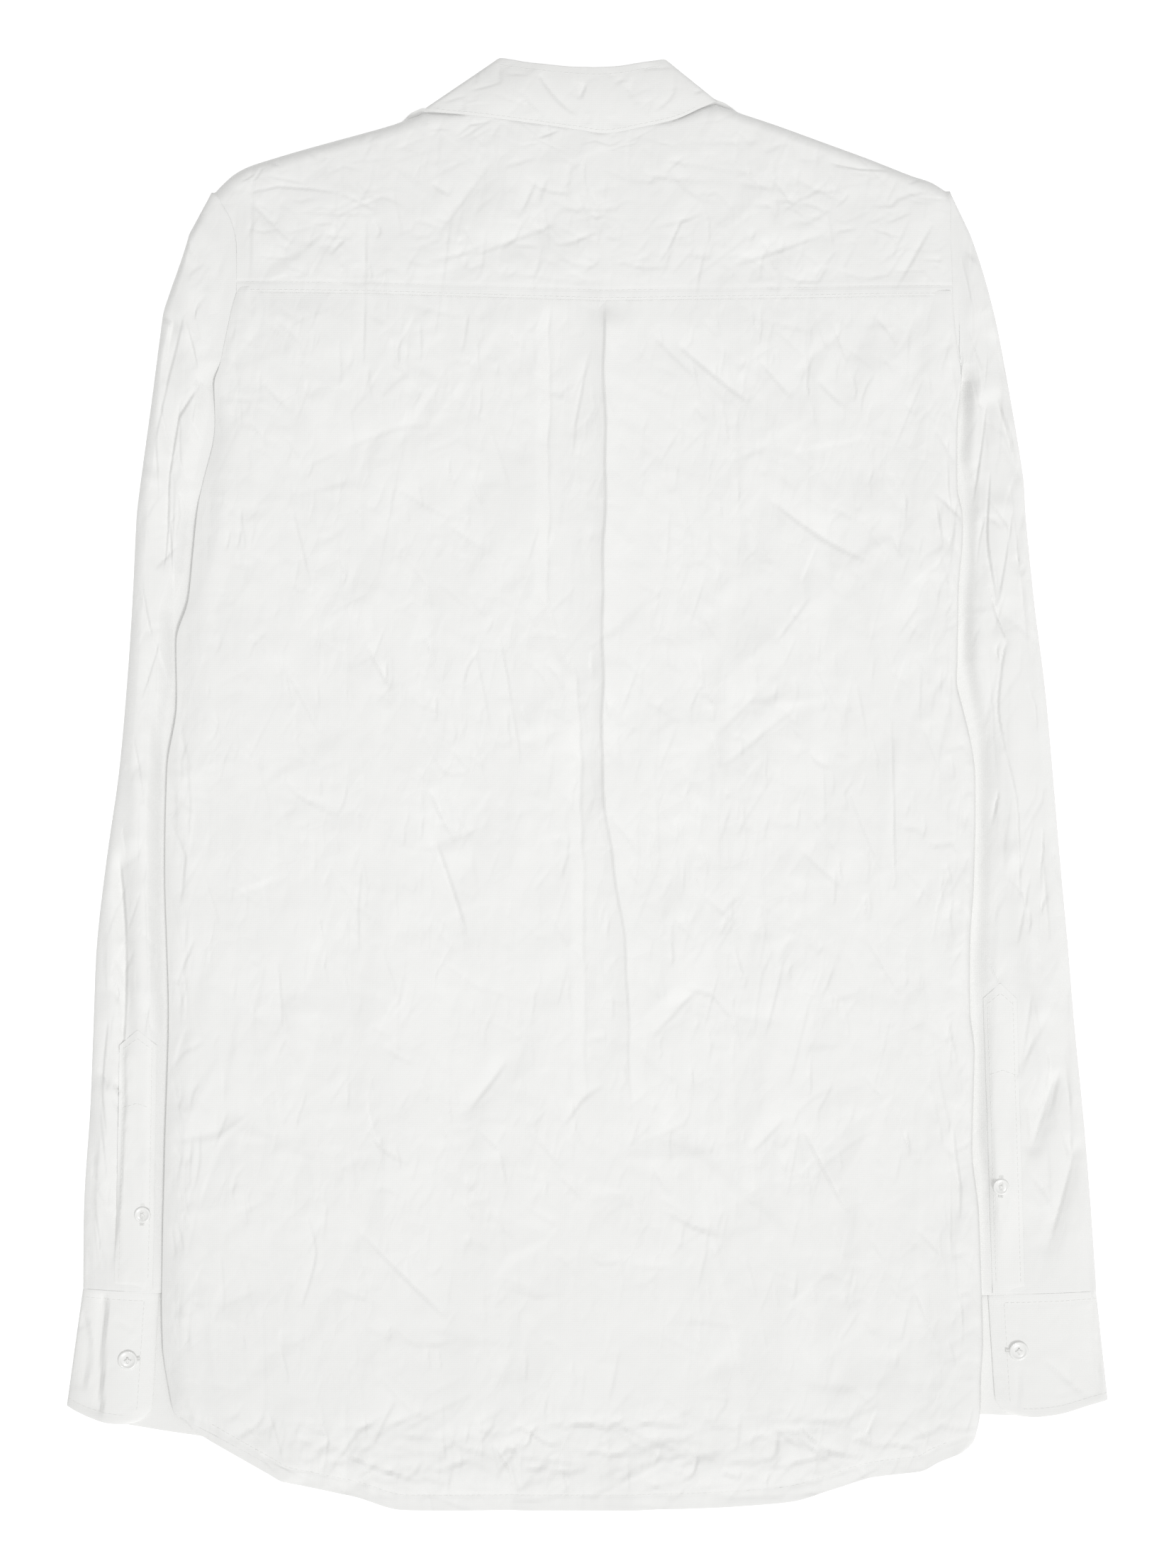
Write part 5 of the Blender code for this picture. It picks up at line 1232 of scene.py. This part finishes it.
def make_stitching(material, cuffs, plackets, collar):
    lines = []
    for inset in (6.0, 1.6):
        seam = offset_line(YOKE_SEAM, inset, 700)[8:-8]
        lines.append(np.column_stack([seam, yoke_surface(seam[:, 0], seam[:, 1])]))
    hem = offset_line(edge_line(HEM), 9.0, 900)[14:-14]
    lines.append(np.column_stack([hem, back_surface(hem[:, 0], hem[:, 1])]))
    stitches("stitching_body", lines, material)
    last_row, inset = CUFF_ROWS - 1, 5.5
    near = int(round(inset / CUFF_DEPTH * last_row))
    far = int(round(last_row - inset / CUFF_DEPTH * last_row))
    lines = []
    for points in cuffs:
        end = int(points.shape[1] * 0.27)
        lines += [points[near, 6:end], points[far, 10:end], points[near:far, 6]]
    for points in plackets:
        lines += [points[2:-3, 3], points[2:-3, -4], points[3, 3:-3], points[26, 3:-3]]
    stitches("stitching_sleeves", lines, material)
    rows, columns = collar.shape[:2]
    first, last = int(columns * 0.34), int(columns * 0.66)
    stitches("stitching_collar", [collar[2, first:last], collar[rows - 6, first:last]], material)


def lathe(name, profile, sides=36):
    """A profile of radius and z, turned about the z axis and closed at both ends."""
    vertices = [(r * math.cos(angle), r * math.sin(angle), z) for r, z in profile for angle in circle(sides)]
    faces = tube_faces(0, len(profile), sides)
    faces.append(tuple(range(sides))[::-1])
    faces.append(tuple(range((len(profile) - 1) * sides, len(profile) * sides)))
    return new_mesh(name, vertices, faces)


# Of a button of diameter 1: radius and z of its outline, its holes, and the height scale of all buttons
BUTTON_PROFILE = (
    (0.36, 0.0), (0.44, 0.012), (0.49, 0.05), (0.5, 0.1), (0.49, 0.15), (0.455, 0.185),
    (0.42, 0.2), (0.39, 0.195), (0.35, 0.165), (0.31, 0.142), (0.2, 0.132), (0.05, 0.13),
)
HOLE_RADIUS, HOLE_PLACE, THREAD_RADIUS = 0.052, 0.095, 0.028
BUTTON_FLATNESS = 0.75


def button_mesh():
    """A four-hole button of diameter 1, its underside at z = 0, with its holes cut through."""
    thing = new_thing("button_blank", lathe("button_blank", BUTTON_PROFILE))
    cutters = []
    for sx in (-1, 1):
        for sy in (-1, 1):
            drill = lathe("button_drill", [(HOLE_RADIUS, -0.1), (HOLE_RADIUS, 0.4)], 14)
            cutter = new_thing("button_drill", drill)
            cutter.location = (HOLE_PLACE * sx, HOLE_PLACE * sy, 0.0)
            cut = thing.modifiers.new("Hole", "BOOLEAN")
            cut.operation = "DIFFERENCE"
            cut.solver = "EXACT"
            cut.object = cutter
            cutters.append(cutter)
    bpy.context.view_layer.update()
    mesh = bpy.data.meshes.new_from_object(thing.evaluated_get(bpy.context.evaluated_depsgraph_get()))
    for helper in cutters + [thing]:
        bpy.data.objects.remove(helper, do_unlink=True)
    mesh.name = "button"
    mesh.set_sharp_from_angle(angle=math.radians(40))
    return mesh


def thread_mesh():
    """The thread that crosses a button of diameter 1 from hole to hole."""
    vertices, faces = [], []
    sides, parts = 8, 9
    for turn in (1, -1):
        for shift in (-0.018, 0.018):
            faces += tube_faces(len(vertices), parts, sides)
            for part in range(parts):
                s = -1 + 2 * part / (parts - 1)
                along_x, height = 0.097 * s, 0.148 + 0.03 * (1 - s**4) - 0.05 * abs(s) ** 8
                for angle in circle(sides):
                    offset = THREAD_RADIUS * math.cos(angle) + shift
                    vertices.append((along_x + offset * -0.7 * turn, turn * along_x + offset * 0.7,
                                     height + THREAD_RADIUS * math.sin(angle)))
    return new_mesh("thread", vertices, faces)


def place_button(name, node, buttons, centre, diameter, tilt=(0.0, 0.0), turn=0.0, face_up=True):
    """A button and its thread, scaled from the shared meshes."""
    shape, thread, pearl, cotton = buttons
    size = diameter * MM
    flip = 0.0 if face_up else math.pi
    for word, mesh, material, nodes, slot in (("button", shape, pearl, [node], "buttons"),
                                              ("thread", thread, cotton, (), "cloth")):
        thing = new_thing(f"{name}_{word}", mesh.copy())
        thing.data.materials.clear()
        thing.scale = (size, size, BUTTON_FLATNESS * size)
        thing.rotation_euler = (tilt[0] + flip, tilt[1], turn)
        thing.location = Vector(centre) * MM
        bpy.context.view_layer.update()
        finish_piece(thing, material, nodes)


# A bar stitch beside a slit: eight corners, as places along the slit, out from it and up; then its faces
BAR_PITCH = 0.42
BAR_CORNERS = (
    (-0.16, 0.12, 0.1), (0.16, 0.12, 0.1), (0.16, 0.12, 0.3), (-0.16, 0.12, 0.3),
    (-0.16, 1.3, 0.0), (0.16, 1.3, 0.0), (0.16, 1.3, 0.2), (-0.16, 1.3, 0.2),
)
BAR_FACES = ((0, 1, 2, 3), (7, 6, 5, 4), (3, 2, 6, 7), (0, 3, 7, 4), (1, 5, 6, 2), (0, 4, 5, 1))


def make_buttonhole(name, centre, run, length, material):
    """A worked buttonhole: two close rows of bar stitches round a slit."""
    vertices, faces = [], []
    run = np.array(run, float) / math.hypot(*run)
    side = np.array((-run[1], run[0]))
    count = int(length / BAR_PITCH)
    for k in range(count):
        place = -length / 2 + (k + 0.5) * length / count
        for direction in (-1, 1):
            first = len(vertices)
            for along_run, out, z in BAR_CORNERS:
                spot = np.array(centre[:2]) + run * (place + along_run) + side * direction * out
                vertices.append((spot[0], spot[1], centre[2] + z))
            faces += [tuple(first + corner for corner in quad) for quad in BAR_FACES]
    mesh = new_mesh(name, [Vector(v) * MM for v in vertices], faces, soft=False)
    finish_piece(new_thing(name, mesh), material, ())


def nearest_height(points, x, y):
    """The greatest height among the six points of a grid nearest to a place."""
    flat = points.reshape(-1, 3)
    near = (flat[:, 0] - x) ** 2 + (flat[:, 1] - y) ** 2
    return float(flat[np.argsort(near)[:6], 2].max())


# Materials


def node(tree, kind, inputs, links, **settings):
    """A shader node with these settings, input values and links into it."""
    made = tree.nodes.new(kind)
    for key, value in settings.items():
        setattr(made, key, value)
    for key, value in inputs.items():
        made.inputs[key].default_value = value
    for key, source in links.items():
        tree.links.new(source, made.inputs[key])
    return made


def new_material(name, inputs):
    """A material whose shader has these input values, with its tree and shader."""
    material = bpy.data.materials.new(name)
    material.use_nodes = True
    shader = material.node_tree.nodes["Principled BSDF"]
    for key, value in inputs.items():
        shader.inputs[key].default_value = value
    return material, material.node_tree, shader


def uneven_colour(tree, shader, colour, noise, low, high, darkest):
    """Base colour that is darker, down to this share, where a noise is low."""
    ramp = node(tree, "ShaderNodeMapRange", {"From Min": low, "From Max": high, "To Min": darkest, "To Max": 1.0},
                {"Value": noise.outputs["Fac"]})
    tint = node(tree, "ShaderNodeVectorMath", {0: colour}, {"Scale": ramp.outputs["Result"]}, operation="SCALE")
    tree.links.new(tint.outputs["Vector"], shader.inputs["Base Color"])


def bump(tree, height, strength, distance, before=None):
    links = {"Height": height}
    if before:
        links["Normal"] = before.outputs["Normal"]
    return node(tree, "ShaderNodeBump", {"Strength": strength, "Distance": distance}, links)


def facet_bump(tree, place, before, depth, scale=95.0, offset=3.1):
    """Crisp small facets, longer than they are wide, that come and go over the cloth."""
    bend = node(tree, "ShaderNodeTexNoise", {"Scale": 0.35 * scale, "Detail": 2.0}, {"Vector": place})
    shift = node(tree, "ShaderNodeVectorMath", {1: (1.3 / scale, 1.3 / scale, 0.0)},
                 {0: bend.outputs["Color"], 2: place}, operation="MULTIPLY_ADD")
    spread = node(tree, "ShaderNodeMapping",
                  {"Location": (offset, offset, offset), "Rotation": (0.0, 0.0, 0.05), "Scale": (1.0, 0.55, 0.05)},
                  {"Vector": shift.outputs["Vector"]})
    cells = node(tree, "ShaderNodeTexVoronoi", {"Scale": scale}, {"Vector": spread.outputs["Vector"]},
                 feature="DISTANCE_TO_EDGE")
    mask = node(tree, "ShaderNodeTexNoise", {"Scale": 0.3 * scale, "Detail": 1.0}, {"Vector": place})
    share = node(tree, "ShaderNodeMapRange", {"From Min": 0.42, "From Max": 0.62}, {"Value": mask.outputs["Fac"]})
    height = node(tree, "ShaderNodeMath", {}, {0: cells.outputs["Distance"], 1: share.outputs["Result"]},
                  operation="MULTIPLY")
    return bump(tree, height.outputs["Value"], 1.0, depth, before)


def cloth_material(name, colour, creases=1.0):
    """Matt cotton: a fine plain weave, faint slubs and hair creases as bump, and slight unevenness of colour."""
    material, tree, shader = new_material(name, {
        "Roughness": 0.88, "Sheen Weight": 0.06, "Sheen Roughness": 0.5, "IOR": 1.4, "Specular IOR Level": 0.25})
    place = node(tree, "ShaderNodeTexCoord", {}, {}).outputs["Object"]
    tone = node(tree, "ShaderNodeTexNoise", {"Scale": 26.0, "Detail": 4.0}, {"Vector": place})
    uneven_colour(tree, shader, colour, tone, 0.3, 0.7, 0.985)
    threads = [node(tree, "ShaderNodeTexWave", {"Scale": pitch / 6.2832, "Distortion": 0.6, "Detail": 1.0},
                    {"Vector": place}, bands_direction=direction)
               for direction, pitch in (("X", 1750.0), ("Y", 1650.0))]
    woven = node(tree, "ShaderNodeMath", {}, {0: threads[0].outputs["Fac"], 1: threads[1].outputs["Fac"]},
                 operation="MULTIPLY")
    slub = node(tree, "ShaderNodeTexNoise", {"Scale": 900.0, "Detail": 2.0}, {"Vector": place})
    crease = node(tree, "ShaderNodeTexNoise", {"Scale": 75.0, "Detail": 4.0, "Roughness": 0.62},
                  {"Vector": place}, noise_type="RIDGED_MULTIFRACTAL")
    last = bump(tree, woven.outputs["Value"], 0.35, 0.00012)
    last = bump(tree, slub.outputs["Fac"], 0.25, 0.0002, last)
    last = bump(tree, crease.outputs["Fac"], 0.15 * creases, 0.0006, last)
    last = facet_bump(tree, place, last, 0.0007 * creases)
    tree.links.new(last.outputs["Normal"], shader.inputs["Normal"])
    return material


def plain_material(name, colour, roughness, coat=0.0, specular=0.5):
    material, tree, shader = new_material(name, {
        "Roughness": roughness, "Coat Weight": coat, "Specular IOR Level": specular})
    place = node(tree, "ShaderNodeTexCoord", {}, {}).outputs["Object"]
    swirl = node(tree, "ShaderNodeTexNoise", {"Scale": 5.0, "Distortion": 1.5}, {"Vector": place})
    uneven_colour(tree, shader, colour, swirl, 0.0, 1.0, 0.93)
    return material


# The shirt

cloth = cloth_material("cotton", (0.82, 0.82, 0.808))
band = cloth_material("cotton_bands", (0.835, 0.835, 0.822), creases=0.7)
sewing = plain_material("sewing_thread", (0.84, 0.84, 0.825), 0.7, specular=0.2)
pearl = plain_material("pearl_button", (0.84, 0.84, 0.825), 0.3, coat=0.3)

make_back(cloth)
make_yoke(cloth)
make_front(LEFT, "front_cloth_left", "front_left", cloth)
make_front(RIGHT, "front_cloth_right", "front_right", cloth)
make_front_placket(band)
collar = make_collar(band)
cuffs, plackets = [], []
for side, word in ((LEFT, "left"), (RIGHT, "right")):
    rings = make_sleeve(side, word, cloth)
    cuffs.append(make_cuff(side, word, band))
    plackets.append(make_sleeve_placket(side, word, rings, band))
make_stitching(sewing, cuffs, plackets, collar)

# Rows below: places on the left and right, the slit's direction and length, diameter, tilt, turn
BUTTON_SINK = 0.85
shared = (button_mesh(), thread_mesh(), pearl, sewing)
for piece, grids, places, slit, slit_length, diameter, tilt, turn in (
    ("placket", plackets, ((-257.3, -249.1), (239.0, -232.7)), (0.02, 1.0), 13.0, 9.6, (0.03, 0.04), 0.3),
    ("cuff", cuffs, ((-265.9, -333.1), (249.5, -327.8)), (1.0, 0.05), 15.0, 11.4, (0.04, -0.03), 0.8),
):
    for side, word, points, (x, y) in zip((LEFT, RIGHT), ("left", "right"), grids, places):
        level = nearest_height(points, x, y)
        make_buttonhole(f"{piece}_buttonhole_{word}", (x, y, level), slit, slit_length, sewing)
        place_button(f"{piece}_{word}", f"{piece}_button_{word}", shared, (x, y, level - BUTTON_SINK),
                     diameter, (tilt[0], tilt[1] * side), turn)
COLLAR_BUTTON_Y, TOP_BUTTON_Y, BUTTON_PITCH, BUTTON_LEVEL = 323.0, 250.0, 88.0, 2.3
for index in range(8):
    name = "collar_button" if index == 0 else f"front_button_{index}"
    y = COLLAR_BUTTON_Y if index == 0 else TOP_BUTTON_Y - BUTTON_PITCH * (index - 1)
    place_button(f"{name}_set", name, shared, (FRONT_CENTRE, y, BUTTON_LEVEL), 11.4, turn=0.2 * index,
                 face_up=False)

# The surface, light and camera

REACH, LEVEL = 4, -0.0006
corners = [(-REACH, -REACH, LEVEL), (REACH, -REACH, LEVEL), (REACH, REACH, LEVEL), (-REACH, REACH, LEVEL)]
floor = new_thing("floor", new_mesh("floor", corners, [(0, 1, 2, 3)], soft=False))
floor.data.materials.append(new_material("white_surface", {
    "Base Color": (0.9, 0.9, 0.9, 1.0), "Roughness": 1.0, "Specular IOR Level": 0.0,
    "Emission Color": (1.0, 1.0, 1.0, 1.0), "Emission Strength": 0.42})[0])

scene = bpy.context.scene
world = bpy.data.worlds.new("studio")
world.use_nodes = True
background = world.node_tree.nodes["Background"]
background.inputs["Color"].default_value = (1.0, 1.0, 1.0, 1.0)
background.inputs["Strength"].default_value = 0.5
scene.world = world
key_data = bpy.data.lights.new("key", "SUN")
key_data.energy = 1.3
key_data.angle = math.radians(16)
key = new_thing("key", key_data)
key.rotation_euler = Vector((-0.42, 0.9, -1.0)).to_track_quat("-Z", "Y").to_euler()

lamp_data = bpy.data.lights.new("overhead", "SPOT")
lamp_data.energy = 79.0
lamp_data.shadow_soft_size = 0.3
lamp_data.spot_size = math.radians(41)
lamp_data.spot_blend = 1.0
lamp = new_thing("overhead", lamp_data)
lamp.location = (0.04, -0.05, 2.6)

camera_data = bpy.data.cameras.new("camera")
camera_data.lens = 85.0
camera_data.sensor_fit = "VERTICAL"
camera_data.sensor_height = 36.0
camera_data.clip_end = 50.0
camera = new_thing("camera", camera_data)
camera.location = (0.0004, 0.0, 2.147)
scene.camera = camera
scene.view_settings.view_transform = "Standard"
